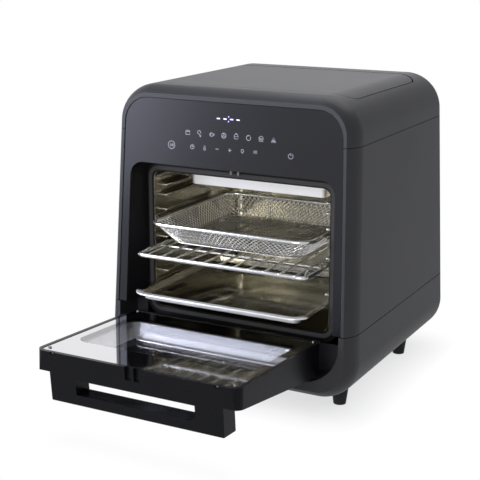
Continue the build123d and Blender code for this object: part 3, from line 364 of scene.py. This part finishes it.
def circuitBoard(name):  # copper tracks showing through green lacquer
    s = Shading(name)
    lanes = s.cells(260, (1, 1, 0.3))
    track = lanes.step(0.1, 0.16)
    speck = s.noise(60, 2)
    base = s.tint(track, (0.05, 0.19, 0.07), s.tint(speck, (0.01, 0.07, 0.03), (0.015, 0.1, 0.045)))
    return s.finish(s.surface(Base_Color=base, Roughness=0.35 + speck * 0.15,
                              Normal=s.bump(track, 0.3, 0.05 * mm)))


def glassWool(name):
    s = Shading(name)
    fibre = s.noise(300, 4, 0.7, (1, 0.2, 1))
    clump = s.noise(40, 3)
    base = s.tint(fibre, (0.5, 0.48, 0.4), (0.78, 0.76, 0.68))
    return s.finish(s.surface(Base_Color=base, Roughness=0.9 + fibre * 0.1,
                              Normal=s.bump(fibre + clump * 2, 0.8, 0.8 * mm)))


def printInk(name, colour, glow):
    s = Shading(name)
    speck = s.noise(700, 2)
    base = s.tint(speck, [c * 0.85 for c in colour], colour)
    return s.finish(s.surface(Base_Color=base, Roughness=0.6, Emission_Color=base, Emission_Strength=glow))


controlGlass = blackGlass("controlGlass")
doorGlass = coatedGlass("doorGlass")
netWire = wovenWire("netWire")
trayMetalPaintedLight = paintedLightTray("trayMetalPaintedLight")
boardGreen = circuitBoard("boardGreen")
wool = glassWool("wool")
# the printed symbols glow faintly: painted light, as the print is no lamp
symbolInkPaintedGlow = printInk("symbolInkPaintedGlow", (0.5, 0.51, 0.56), 0.22)
displayGlow = printInk("displayGlow", (0.62, 0.58, 1.0), 1.6)
print("stage: finishes made")


# CAD nodes that keep their shape get a finish, and the sharp ones a softened copy

nodeFinishes = {
    "display_module": controlGlass, "control_board": boardGreen, "power_board": boardGreen,
    "insulation_wrap": wool, "door_seal": sealRubber, "door_catch": heaterSteel,
    "heating_element": heaterSteel, "fan_housing": plainSteel, "fan_motor": castAluminium,
    "fan_shaft": plainSteel, "fan_impeller": castAluminium, "lamp_lens": lampGlass, "lamp_bulb": lampGlass,
    "lamp_holder": plainSteel, "door_hinge_left": heaterSteel, "door_hinge_right": heaterSteel,
    "door_hinge_pins": plainSteel, "lid_hinge_pins": plainSteel, "door_hinge_arms": heaterSteel,
    "tank_well": wellPlastic, "water_tank": tankPlastic, "tank_cap": whitePlastic,
    "steam_generator": castAluminium, "water_pump": whitePlastic, "supply_hose": hoseRubber,
    "delivery_hose": hoseRubber, "cord_gland": blackPlastic, "rear_screws": plainSteel,
    "door_outer_glass": outerGlass, "door_inner_glass": doorGlass,
}
for nodeName, finish in nodeFinishes.items():
    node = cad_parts[nodeName]
    node.data.materials.clear()
    node.data.materials.append(finish)
    smooth(node, 30)


def softCopy(nodeName, newName, body, finish, slotName, width):
    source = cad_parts[nodeName]
    pick(source)
    bpy.ops.object.duplicate()
    piece = bpy.context.object
    piece.parent = None
    pick(piece)
    bpy.ops.object.mode_set(mode="EDIT")
    bpy.ops.mesh.select_all(action="SELECT")
    bpy.ops.mesh.remove_doubles(threshold=0.002 * mm)
    bpy.ops.mesh.dissolve_limited(angle_limit=math.radians(0.3))
    bpy.ops.object.mode_set(mode="OBJECT")
    applyModifier(piece, "BEVEL", width=width * mm, segments=2, limit_method="ANGLE",
                  angle_limit=math.radians(32), use_clamp_overlap=True, harden_normals=False)
    smooth(piece, 40)
    applyModifier(piece, "WEIGHTED_NORMAL", mode="FACE_AREA", weight=100, keep_sharp=True)
    return dress(piece, newName, body, finish, slotName, nodeName)


softParts = (  # node, piece, body, finish, slot, width of the softened edge
    ("top_shell", "topShell", "housing", casing, "casing", 0.5),
    ("side_panel_left", "sidePanelLeft", "housing", casing, "casing", 0.45),
    ("side_panel_right", "sidePanelRight", "housing", casing, "casing", 0.45),
    ("bottom_shell", "bottomShell", "housing", casing, "casing", 0.45),
    ("rear_panel", "rearPanel", "housing", casing, "casing", 0.35),
    ("lid_panel", "lidPanel", "lid", casing, "casing", 0.5),
    ("front_frame", "mouthFrame", "housing", mouthPlastic, "black_trim", 0.4),
    ("control_glass", "controlPane", "housing", controlGlass, "dark_glass", 0.35),
    ("door_frame", "doorShell", "door", blackPlastic, "black_trim", 0.8),
    ("door_handle", "doorHandle", "door", blackPlastic, "black_trim", 0.9),
    ("heater_guard", "heaterGuard", "housing", guardSteel, "stainless", 0.5),
    ("foot_front_left", "footFrontLeft", "housing", footRubber, "rubber_grey", 0.9),
    ("foot_front_right", "footFrontRight", "housing", footRubber, "rubber_grey", 0.9),
    ("foot_rear_left", "footRearLeft", "housing", footRubber, "rubber_grey", 0.9),
    ("foot_rear_right", "footRearRight", "housing", footRubber, "rubber_grey", 0.9),
)
for part in softParts:
    softCopy(*part)
print("stage: softened parts made")


# flat work: a rounded plate, pressed in steps of inset and depth

def roundedPlate(width, depth, radius, centre, segments):
    clearSelection()
    bpy.ops.mesh.primitive_plane_add(size=1, location=[c * mm for c in centre])
    plate = bpy.context.object
    plate.scale = (width * mm, depth * mm, 1)
    fixPlace(plate)
    bpy.ops.object.mode_set(mode="EDIT")
    bpy.ops.mesh.select_all(action="SELECT")
    bpy.ops.mesh.bevel(offset=radius * mm, segments=segments, affect="VERTICES")
    bpy.ops.mesh.select_all(action="SELECT")
    bpy.ops.object.mode_set(mode="OBJECT")
    return plate


def press(plate, steps, openEnd=False):
    pick(plate)
    bpy.ops.object.mode_set(mode="EDIT")
    bpy.ops.mesh.select_mode(type="FACE")
    bpy.ops.mesh.select_all(action="SELECT")
    for inset, depth in steps:
        bpy.ops.mesh.inset(thickness=inset * mm, depth=depth * mm)
    if openEnd:
        bpy.ops.mesh.delete(type="FACE")
    bpy.ops.object.mode_set(mode="OBJECT")
    return plate


def turned(piece, matrix):
    piece.matrix_world = matrix @ piece.matrix_world
    return fixPlace(piece)


def box(low, high, width=0, segments=2):  # a block between two corners, its edges bevelled by the width
    clearSelection()
    centre = [(a + b) / 2 * mm for a, b in zip(low, high)]
    bpy.ops.mesh.primitive_cube_add(size=1, location=centre)
    block = bpy.context.object
    block.scale = [(b - a) * mm for a, b in zip(low, high)]
    fixPlace(block)
    if width:
        bpy.ops.object.mode_set(mode="EDIT")
        bpy.ops.mesh.select_all(action="SELECT")
        bpy.ops.mesh.bevel(offset=width * mm, segments=segments, affect="EDGES")
        bpy.ops.object.mode_set(mode="OBJECT")
    return block


def cutWith(piece, tool):
    applyModifier(piece, "BOOLEAN", operation="DIFFERENCE", solver="EXACT", object=tool)
    bpy.data.objects.remove(tool)
    return piece


def disc(radius, depth, place, vertices, turn=0):  # a round block, turned about the y axis
    clearSelection()
    bpy.ops.mesh.primitive_cylinder_add(
        vertices=vertices, radius=radius * mm, depth=depth * mm, location=[c * mm for c in place],
        rotation=(0, turn, 0))
    return bpy.context.object


def ball(radius, place, segments, rings):
    clearSelection()
    bpy.ops.mesh.primitive_uv_sphere_add(
        segments=segments, ring_count=rings, radius=radius * mm, location=[c * mm for c in place])
    return bpy.context.object


def rod(paths, radius, sides, closed=False):  # bent wires: (x, y, z) points in millimetres
    clearSelection()
    curve = bpy.data.curves.new("wire", "CURVE")
    curve.dimensions = "3D"
    curve.bevel_depth = radius * mm
    curve.bevel_resolution = sides
    curve.use_fill_caps = True
    for points in paths:
        line = curve.splines.new("POLY")
        line.points.add(len(points) - 1)
        for spot, point in zip(line.points, points):
            spot.co = (*[c * mm for c in point], 1)
        line.use_cyclic_u = closed
    piece = bpy.data.objects.new("wire", curve)
    bpy.context.collection.objects.link(piece)
    pick(piece)
    bpy.ops.object.convert(target="MESH")
    return smooth(bpy.context.object, 50)


def arc(cx, cy, radius, start, end, count):
    turns = [math.radians(start + (end - start) * k / count) for k in range(count + 1)]
    return [(cx + radius * math.cos(t), cy + radius * math.sin(t)) for t in turns]


def roundedLoop(half, front, length, radius, steps=6):  # points of a rounded rectangle seen from above
    rear = front + length
    corners = ((half - radius, rear - radius, 0), (radius - half, rear - radius, 90),
               (radius - half, front + radius, 180), (half - radius, front + radius, 270))
    points = []
    for x, y, start in corners:
        points += arc(x, y, radius, start, start + 90, steps)
    return points


# oven liner

liner = {"half": 118, "low": 90, "top": 262, "flange": 13, "front": -123.4, "rear": 93, "corner": 23,
         "bend": 10, "sheet": 0.8}
lampHole = {"y": 40, "z": 213.8, "radius": 12.5}
fanHole = {"y": -10, "radius": 56}
linerWidth, linerHeight = 2 * liner["half"], liner["top"] - liner["low"]
linerMiddle = (liner["top"] + liner["low"]) / 2
standing = Matrix.Rotation(math.pi / 2, 4, "X")
facingFront = Matrix.Translation((0, liner["front"] * mm, linerMiddle * mm)) @ standing
deep = liner["rear"] - liner["front"]
flangeWidth, flangeHeight = linerWidth + 2 * liner["flange"], linerHeight + 2 * liner["flange"]
plate = roundedPlate(flangeWidth, flangeHeight, liner["corner"], (0, 0, 0), 10)
press(plate, ((liner["flange"] - 0.4, 0), (0.4, -0.3)), openEnd=True)
turned(plate, facingFront)
applyModifier(plate, "SOLIDIFY", thickness=0.9 * mm, offset=-1)
dress(outward(smooth(plate, 35)), "mouthFlange", "housing", enamelBlack, "black_trim", "cavity_flange")

plate = roundedPlate(linerWidth, linerHeight, liner["bend"], (0, 0, -0.1), 10)
press(plate, ((0.25, 0.15), (0.3, -0.35), (0.1, -0.9), (0, -deep + 8.6), (0.5, -2.2), (1.3, -1.9),
              (2.0, -1.4), (2.6, -0.9), (2, -0.6)))
turned(plate, facingFront)
applyModifier(plate, "SOLIDIFY", thickness=liner["sheet"] * mm, offset=-1)
cutWith(plate, disc(lampHole["radius"], 8, (liner["half"], lampHole["y"], lampHole["z"]), 40, math.pi / 2))
cutWith(plate, disc(fanHole["radius"], 10, (0, fanHole["y"], liner["top"]), 64))
smooth(plate, 35)
dress(plate, "ovenLiner", "housing", linerSteel, "stainless", "cavity_floor", "cavity_ceiling",
      "cavity_rear_wall", "cavity_left_wall", "cavity_right_wall")

ribs = {"front": -112, "rear": 80, "short": -55, "reach": 11, "height": 3.5, "rise": 9, "round": 1.6,
        "ledges": (121.5, 165.2, 200.2, 231)}
ribSets = (("shelfRibsLeft", -1, "shelf_ribs_left"), ("shelfRibsRight", 1, "shelf_ribs_right"))
for name, side, nodeName in ribSets:
    wallSide, freeSide = side * liner["half"], side * (liner["half"] - ribs["reach"])
    left, right = min(wallSide, freeSide), max(wallSide, freeSide)
    rails = []
    for ledge in ribs["ledges"]:
        for low, rear in ((ledge - ribs["height"], ribs["rear"]), (ledge + ribs["rise"], ribs["short"])):
            high = low + ribs["height"]
            rails.append(box((left, ribs["front"], low), (right, rear, high), ribs["round"], 4))
    dress(smooth(joinPieces(rails), 60), name, "housing", linerSteel, "stainless", nodeName)

ridge = {"left": -69, "right": -66, "depth": 3, "low": 152, "high": 246, "round": 1.2}
rib = box((ridge["left"], liner["rear"] - ridge["depth"], ridge["low"]),
          (ridge["right"], liner["rear"], ridge["high"]), ridge["round"], 4)
dress(smooth(rib, 60), "rearRidge", "housing", linerSteel, "stainless")

rivetSizes = {"radius": 2, "flat": 0.35,
              "places": ((1, -93, 150), (1, -93, 105), (-1, -93, 150), (-1, 70, 150))}
rivets = []
for side, y, z in rivetSizes["places"]:
    rivet = ball(rivetSizes["radius"], (side * liner["half"], y, z), 16, 8)
    rivet.scale = (rivetSizes["flat"], 1, 1)
    rivets.append(smooth(fixPlace(rivet), 60))
dress(joinPieces(rivets), "linerRivets", "housing", heaterSteel, "stainless")
print("stage: oven liner made")


# baking tray

tray = {"half": 116, "front": -187, "length": 208, "z": 123.5, "corner": 20.7, "hem": 1.2, "sheet": 0.7}
plate = roundedPlate(2 * tray["half"] - tray["hem"], tray["length"] - tray["hem"], tray["corner"],
                     (0, tray["front"] + tray["length"] / 2, tray["z"] - 1.4), 8)
press(plate, ((0, 0.9), (0.25, 0.35), (0.6, 0.15), (6.6, -0.15), (0.9, -0.2), (0.6, -0.55), (0.3, -0.9),
              (1.5, -5.6), (0.4, -0.8), (0.7, -0.5), (1.1, -0.2), (4, 0), (0.6, 0.25), (0.6, 0.3),
              (0.4, 0.1)))
applyModifier(plate, "SOLIDIFY", thickness=tray["sheet"] * mm, offset=-1)
dress(smooth(plate, 40), "bakingTray", "tray", trayMetalPaintedLight, "polished_steel", "baking_tray")
print("stage: tray made")


# wire rack: a bent frame, laid wires with welded ends, cross wires and the corner stops

rack = {"half": 113.3, "front": -176, "length": 208, "z": 168, "rod": 2.5, "wire": 1.5, "weld": 1.9,
        "count": 11, "pitch": 19.6, "corner": 9.5, "cross": (55, 150), "stops": (4, 44),
        "stopShape": ((112, 0, 0), (108.5, 9, 3), (107.5, 16, 4.2), (108.5, 22, 3), (112, 30, 0))}
loop = roundedLoop(rack["half"] - rack["rod"], rack["front"] + rack["rod"], rack["length"] - 2 * rack["rod"],
                   rack["corner"])
frameRod = rod([[(x, y, rack["z"]) for x, y in loop]], rack["rod"], closed=True, sides=4)
laid = []
front, rear = rack["front"] + 0.6, rack["front"] + rack["length"] - 0.6
top = rack["z"] + 1
wireX = [(index - (rack["count"] - 1) / 2) * rack["pitch"] for index in range(rack["count"])]
for x in wireX:
    laid.append([(x, front, top - 0.9), (x, front + 2, top - 0.1), (x, front + 6, top), (x, rear - 6, top),
                 (x, rear - 2, top - 0.1), (x, rear, top - 0.9)])
for step in rack["cross"]:
    y = rack["front"] + step
    endX = rack["half"] - rack["wire"]
    laid.append([(-endX, y, rack["z"] - 1), (endX, y, rack["z"] - 1)])
for side in (-1, 1):
    for start in rack["stops"]:
        laid.append([(side * (x - rack["wire"]), rack["front"] + start + y, rack["z"] + z)
                     for x, y, z in rack["stopShape"]])
wires = rod(laid, rack["wire"], sides=3)
welds = [smooth(fixPlace(ball(rack["weld"], (x, front + 1.4, rack["z"] + 1.2), 12, 8)), 60) for x in wireX]
dress(joinPieces([frameRod, wires] + welds), "wireRack", "rack", wireChrome, "bright_wire", "wire_rack")
print("stage: rack made")


# mesh basket: diagonal wires woven over and under, with a rod rim

basket = {"half": 108, "front": -158.5, "length": 203, "z": 203, "depth": 25, "slope": 18, "rod": 2.5,
          "corner": 19.5, "pitch": 6.5, "wire": 0.52, "weave": 0.42, "hem": 0.7}
inner = basket["half"] - basket["rod"]
middle = basket["front"] + basket["length"] / 2
halfLong = basket["length"] / 2 - basket["rod"]
loop = roundedLoop(inner, middle - halfLong, 2 * halfLong, basket["corner"])
rim = rod([[(x, y, basket["z"]) for x, y in loop]], basket["rod"], closed=True, sides=4)
netHalf, netLong, netCorner = inner - 1, halfLong - 1, basket["corner"] - 1
netTop, netDepth = basket["z"] - 0.5, basket["depth"] - 1.2


def outline(across, along, radius, share):  # a point of a rounded rectangle, by its share of the way round
    place = (share % 1) * 8
    part = int(place) % 8
    way = place - int(place)
    flatX, flatY = across - radius, along - radius
    side = part // 2
    if part % 2 == 0:  # straight runs: right side, rear, left side, front
        runs = (((across, -flatY), (across, flatY)), ((flatX, along), (-flatX, along)),
                ((-across, flatY), (-across, -flatY)), ((-flatX, -along), (flatX, -along)))
        (x0, y0), (x1, y1) = runs[side]
        return x0 + (x1 - x0) * way, y0 + (y1 - y0) * way
    turn = math.radians(90 * (side + way))
    cx, cy = flatX * (1, -1, -1, 1)[side], flatY * (1, 1, -1, -1)[side]
    return cx + radius * math.cos(turn), cy + radius * math.sin(turn)


def lengthShare(across, along, radius):  # shares of the way round, one for each mesh pitch
    sides = [2 * (along - radius), math.pi / 2 * radius, 2 * (across - radius), math.pi / 2 * radius] * 2
    total = sum(sides)
    count = int(total / basket["pitch"] / 2) * 2
    shares = []
    for index in range(count):
        left = total * index / count
        part = 0
        while left > sides[part]:
            left -= sides[part]
            part += 1
        shares.append((part + left / sides[part]) / 8)
    return shares


def wallPoint(shares, step, level, lift):  # a point on the sloping wall: level 0 at the rim, 1 at the floor
    count = len(shares)
    low = math.floor(step)
    first, second = shares[low % count], shares[(low + 1) % count]
    if second < first:
        second += 1
    share = first + (second - first) * (step - low)
    inset = basket["slope"] * level - lift * 0.8
    x, y = outline(netHalf - inset, netLong - inset, netCorner, share)
    return x, middle + y, netTop - netDepth * level - lift * 0.6


shares = lengthShare(netHalf, netLong, netCorner)
slant = math.hypot(basket["slope"], basket["depth"])
levels = int(slant / basket["pitch"] * 2)
woven = []
for index in range(len(shares)):
    for way in (-1, 1):
        path = []
        for level in range(levels + 1):
            over = basket["weave"] * (1 if (level + (way > 0)) % 2 else -1)
            path.append(wallPoint(shares, index + way * level / 2, level / levels, over))
        woven.append(path)
floorHalf, floorLong, floorZ = netHalf - basket["slope"], netLong - basket["slope"], netTop - netDepth
reach = int((floorHalf + floorLong) / basket["pitch"]) + 1


def onFloor(x, y):
    dx, dy = max(abs(x) - floorHalf + netCorner, 0), max(abs(y) - floorLong + netCorner, 0)
    return math.hypot(dx, dy) <= netCorner + 0.3


for way in (-1, 1):
    for index in range(-reach, reach + 1):
        path = []
        for cross in range(-reach, reach + 1):
            x = (index + cross) * basket["pitch"] / 2
            y = way * (cross - index) * basket["pitch"] / 2
            if onFloor(x, y):
                over = basket["weave"] * (1 if (index + cross + (way > 0)) % 2 else -1)
                path.append((x, middle + y, floorZ + over))
        if len(path) > 1:
            woven.append(path)
net = rod(woven, basket["wire"], sides=1)
hem = roundedLoop(floorHalf + 0.8, middle - floorLong - 0.8, 2 * floorLong + 1.6, netCorner)
hemRod = rod([[(x, y, floorZ + 0.2) for x, y in hem]], basket["hem"], closed=True, sides=2)
dress(net, "basketNet", "basket", netWire, "bright_wire", "basket_mesh")
dress(joinPieces([rim, hemRod]), "basketRim", "basket", wireChrome, "bright_wire", "basket_rim")
print("stage: basket made")


# door: built in its own axes (across, away from the hinge, through the door), then laid in place

sine, cosine = math.sin(door["turn"]), math.cos(door["turn"])
doorPlace = Matrix(((1, 0, 0, 0), (0, -sine, -cosine, door["hingeY"]), (0, cosine, -sine, door["hingeZ"]),
                    (0, 0, 0, 1)))
trim = {"half": 108, "near": 38, "far": 155, "lip": 11, "corner": 23, "depth": -21.5}
trimWidth, trimLength = 2 * (trim["half"] + trim["lip"]), trim["far"] - trim["near"] + 2 * trim["lip"]
trimCentre = (0, (trim["near"] + trim["far"]) / 2, trim["depth"])
plate = roundedPlate(trimWidth, trimLength, trim["corner"], trimCentre, 9)
press(plate, ((8.4, 0), (0.7, -0.2), (0.5, 0.2), (1.4, 0), (0.5, 0.3), (0.3, 0.6), (1.2, 2.5), (7.4, 11.2),
              (0.4, 0.9), (0.9, 0.4), (0.8, -0.1)), openEnd=True)
applyModifier(plate, "SOLIDIFY", thickness=0.6 * mm, offset=-1)
turned(plate, doorPlace)
dress(outward(smooth(plate, 40)), "windowTrim", "door", trimChrome, "bright_surround", "window_surround")

screwSizes = {"places": ((118.5, 13.5, -27.4, 2.1), (115, 194, -27.4, 2.1), (101.5, 206.3, -26.6, 1.3)),
              "thick": 1.2, "slot": 0.3}
heads = []
for side in (-1, 1):
    for out, along, through, radius in screwSizes["places"]:
        head = disc(radius, screwSizes["thick"], (side * out, along, through), 24)
        low, high = through - 0.8, through - 0.3
        slotCut = box((side * out - screwSizes["slot"], along - 0.75 * radius, low),
                      (side * out + screwSizes["slot"], along + 0.75 * radius, high))
        heads.append(smooth(cutWith(head, slotCut), 30))
screws = turned(joinPieces(heads), doorPlace)
dress(screws, "doorScrews", "door", heaterSteel, "stainless")
print("stage: door made")


# control panel print: thin strokes and plates lying on the glass

# food and small rows: the first icon's x, the pitch and the height
panel = {"lean": 0.06, "base": -165.6, "ink": 0.06, "stroke": 0.2, "iconSize": 0.95,
         "food": (-55, 16, 316.2), "small": (-48.6, 16.55, 300), "playX": -76.9, "powerX": 78.8}
lean = panel["lean"]
panelPlace = Matrix(((1, 0, 0, 0), (0, lean, -1, panel["base"] * mm), (0, 1, lean, 0), (0, 0, 0, 1)))


def strokes(paths):  # lines drawn in the panel's own plane, flattened to a print
    ink = rod([[(x, z, panel["ink"]) for x, z in path] for path in paths], panel["stroke"], sides=1)
    ink.scale = (1, 1, 0.2)
    return fixPlace(ink)


def ring(x, z, radius, start=0, end=360, count=20):
    return arc(x, z, radius, start, end, count)


def shifted(paths, x, z, size=1):
    return [[(x + across * size, z + up * size) for across, up in path] for path in paths]


foodIcons = (
    ([(-2.6, -2.4), (2.6, -2.4), (3.2, 1), (-3.2, 1), (-2.6, -2.4)], [(-2.2, 1), (-2.4, 3)],
     [(-0.8, 1), (-0.8, 3.4)], [(0.8, 1), (0.8, 3.4)], [(2.2, 1), (2.4, 3)]),
    (ring(-0.8, 1.2, 2.2, -30, 230), [(-0.6, -0.6), (0.6, -3)], ring(1, -3.2, 0.7),
     [(-2.6, 0), (-0.6, -0.8)]),
    ([(-3.2, 0), (-1.4, 2), (1, 2), (2.4, 0), (1, -2), (-1.4, -2), (-3.2, 0)],
     [(2.4, 0), (3.8, 1.6), (3.8, -1.6), (2.4, 0)], ring(-1.4, 0.6, 0.4)),
    (ring(0, 0, 3), [(0, 0), (0, 3)], [(0, 0), (2.6, -1.5)], [(0, 0), (-2.6, -1.5)]),
    ([(-2.4, -2.6), (2.4, -2.6), (2.8, 0.4), (-2.8, 0.4), (-2.4, -2.6)], ring(0, 0.4, 2.8, 0, 180),
     ring(0, 3.6, 0.5)),
    (ring(0, -0.2, 2.9, 60, 400), [(0.6, 2.6), (1.6, 3.6)], [(-0.6, 2.4), (-1.8, 3.2)]),
    ([(-3, -2.6), (3, -2.6)], [(-3, -1), (3, -1)], ring(0, 0.2, 2.9, 5, 175), [(-2.9, 0.2), (2.9, 0.2)]),
    ([(-3, -2.6), (3, -2.6), (0, 3.2), (-3, -2.6)], ring(-0.6, -0.8, 0.6), ring(0.9, -1.4, 0.5)),
)
smallIcons = (
    (ring(0, 0, 2.6), [(0, 0), (0, 1.7)], [(0, 0), (1.2, 0)]),
    ([(-0.8, -0.6), (-0.8, 2.4), (0.8, 2.4), (0.8, -0.6)], ring(0, -1.5, 1.3, 130, 410)),
    ([(-2.2, 0), (2.2, 0)],),
    ([(-2.2, 0), (2.2, 0)], [(0, -2.2), (0, 2.2)]),
    (ring(0, 0.6, 1.8, -60, 240), [(-0.9, -1.2), (0.9, -1.2)], [(-0.6, -2), (0.6, -2)]),
    ([(-2.4, -1), (-1.2, 0.6), (0, -1), (1.2, 0.6), (2.4, -1)],
     [(-2.4, 1), (-1.2, 2.6), (0, 1), (1.2, 2.6), (2.4, 1)]),
)
playIcon = (ring(0, 0, 4.6), [(-1.6, -1.7), (-1.6, 1.7), (0.6, 0), (-1.6, -1.7)], [(1.3, -1.7), (1.3, 1.7)],
            [(2.3, -1.7), (2.3, 1.7)])
powerIcon = (ring(0, -0.2, 2.9, 122, 418, 16), [(0, 0.4), (0, 3.4)])
drawn = []
for icons, (firstX, pitch, z) in ((foodIcons, panel["food"]), (smallIcons, panel["small"])):
    for index, icon in enumerate(icons):
        drawn += shifted(icon, firstX + pitch * index, z, panel["iconSize"])
drawn += shifted(playIcon, panel["playX"], z) + shifted(powerIcon, panel["powerX"], z)
symbols = turned(strokes(drawn), panelPlace)
dress(symbols, "touchSymbols", "housing", symbolInkPaintedGlow, "display")

clock = {"bars": (-14.7, -5.9, 2.6, 11.0), "barHalf": 2.1, "low": 334.7, "high": 335.9,
         "dots": (338.1, 332.7), "dotX": -1.4, "dotRadius": 0.6}
marks = [box((x - clock["barHalf"], clock["low"], 0.03), (x + clock["barHalf"], clock["high"], 0.09))
         for x in clock["bars"]]
for z in clock["dots"]:
    marks.append(disc(clock["dotRadius"], 0.06, (clock["dotX"], z, panel["ink"]), 16))
digits = turned(joinPieces(marks), panelPlace)
dress(digits, "displayDigits", "housing", displayGlow, "display")
print("stage: symbols made")


# floor, backdrop, lights, camera

studioWhite = (0.96, 0.97, 1.0)


def groundLook():  # white paper to the eye, with the object's soft shadow, and a plain floor to the light
    s = Shading("groundLook")
    shadow = s.node("ShaderNodeAmbientOcclusion", {"samples": 12}, {"Distance": 0.05}, output="AO")
    white = s.tint(shadow ** 0.7, (0.6, 0.6, 0.61), (1, 1, 1))
    paper = s.node("ShaderNodeEmission", values={"Color": white, "Strength": 1.0})
    soft = s.node("ShaderNodeBsdfDiffuse", values={"Color": (0.75, 0.75, 0.75)})
    mirrored = s.node("ShaderNodeEmission", values={"Color": studioWhite, "Strength": 0.6})
    return s.finish(s.forEachRay(soft, mirrored, paper))


clearSelection()
bpy.ops.mesh.primitive_plane_add(size=12, location=(0, 0, -0.0006))
ground = bpy.context.object
ground.name = "ground"
ground.data.materials.append(groundLook())


def skyLook():
    s = Shading("skyLook", world=True)
    lit = s.node("ShaderNodeBackground", values={"Color": (0.9, 0.92, 1.0), "Strength": 0.35})
    mirrored = s.node("ShaderNodeBackground", values={"Color": studioWhite, "Strength": 0.55})
    white = s.node("ShaderNodeBackground", values={"Color": (1, 1, 1), "Strength": 1.0})
    return s.finish(s.forEachRay(lit, mirrored, white))


bpy.context.scene.world = skyLook()


def areaLight(name, place, target, width, height, power, colour):
    light = bpy.data.lights.new(name, "AREA")
    light.shape = "RECTANGLE"
    light.size, light.size_y = width, height
    light.energy = power
    light.color = colour
    lamp = bpy.data.objects.new(name, light)
    bpy.context.collection.objects.link(lamp)
    lamp.location = place
    lamp.rotation_euler = (Vector(place) - Vector(target)).to_track_quat("Z", "Y").to_euler()


lights = (  # name, place, aim, width, height, watts, colour
    ("keySoftbox", (-1.2, -0.9, 0.9), (0, 0, 0.2), 1.0, 1.2, 34, (0.8, 0.83, 1.0)),
    ("topSoftbox", (0.1, 0.7, 1.5), (0, 0, 0.3), 1.6, 0.9, 8, (1, 1, 1)),
    ("backCard", (-1.0, 1.9, 0.8), (0, 0, 0.35), 2.2, 0.9, 4, (1, 0.99, 0.98)),
    ("frontFill", (0.2, -1.8, 0.62), (0, 0, 0.15), 0.9, 0.5, 13, (1, 0.99, 0.97)),
    ("panelCard", (-1.62, -1.9, 0.3), (-0.1, -0.15, 0.25), 0.8, 0.9, 10, (0.76, 0.79, 1.0)),
    ("cavityGlow", (0.112, 0.04, 0.2138), (-0.1, 0.0, 0.12), 0.018, 0.018, 0.03, (1, 0.9, 0.75)),
)
for values in lights:
    areaLight(*values)

view = {"lens": 86.86, "place": (0.631386, -1.296893, 0.537314), "down": 14.69, "round": 28.223}
camera = bpy.data.cameras.new("camera")
camera.lens = view["lens"]
camera.sensor_width = 36
camera.clip_start, camera.clip_end = 0.05, 30
eye = bpy.data.objects.new("camera", camera)
bpy.context.collection.objects.link(eye)
eye.location = view["place"]
eye.rotation_euler = (math.radians(90 - view["down"]), 0, math.radians(view["round"]))
bpy.context.scene.camera = eye
bpy.context.scene.view_settings.view_transform = "Standard"
print("stage: studio made")
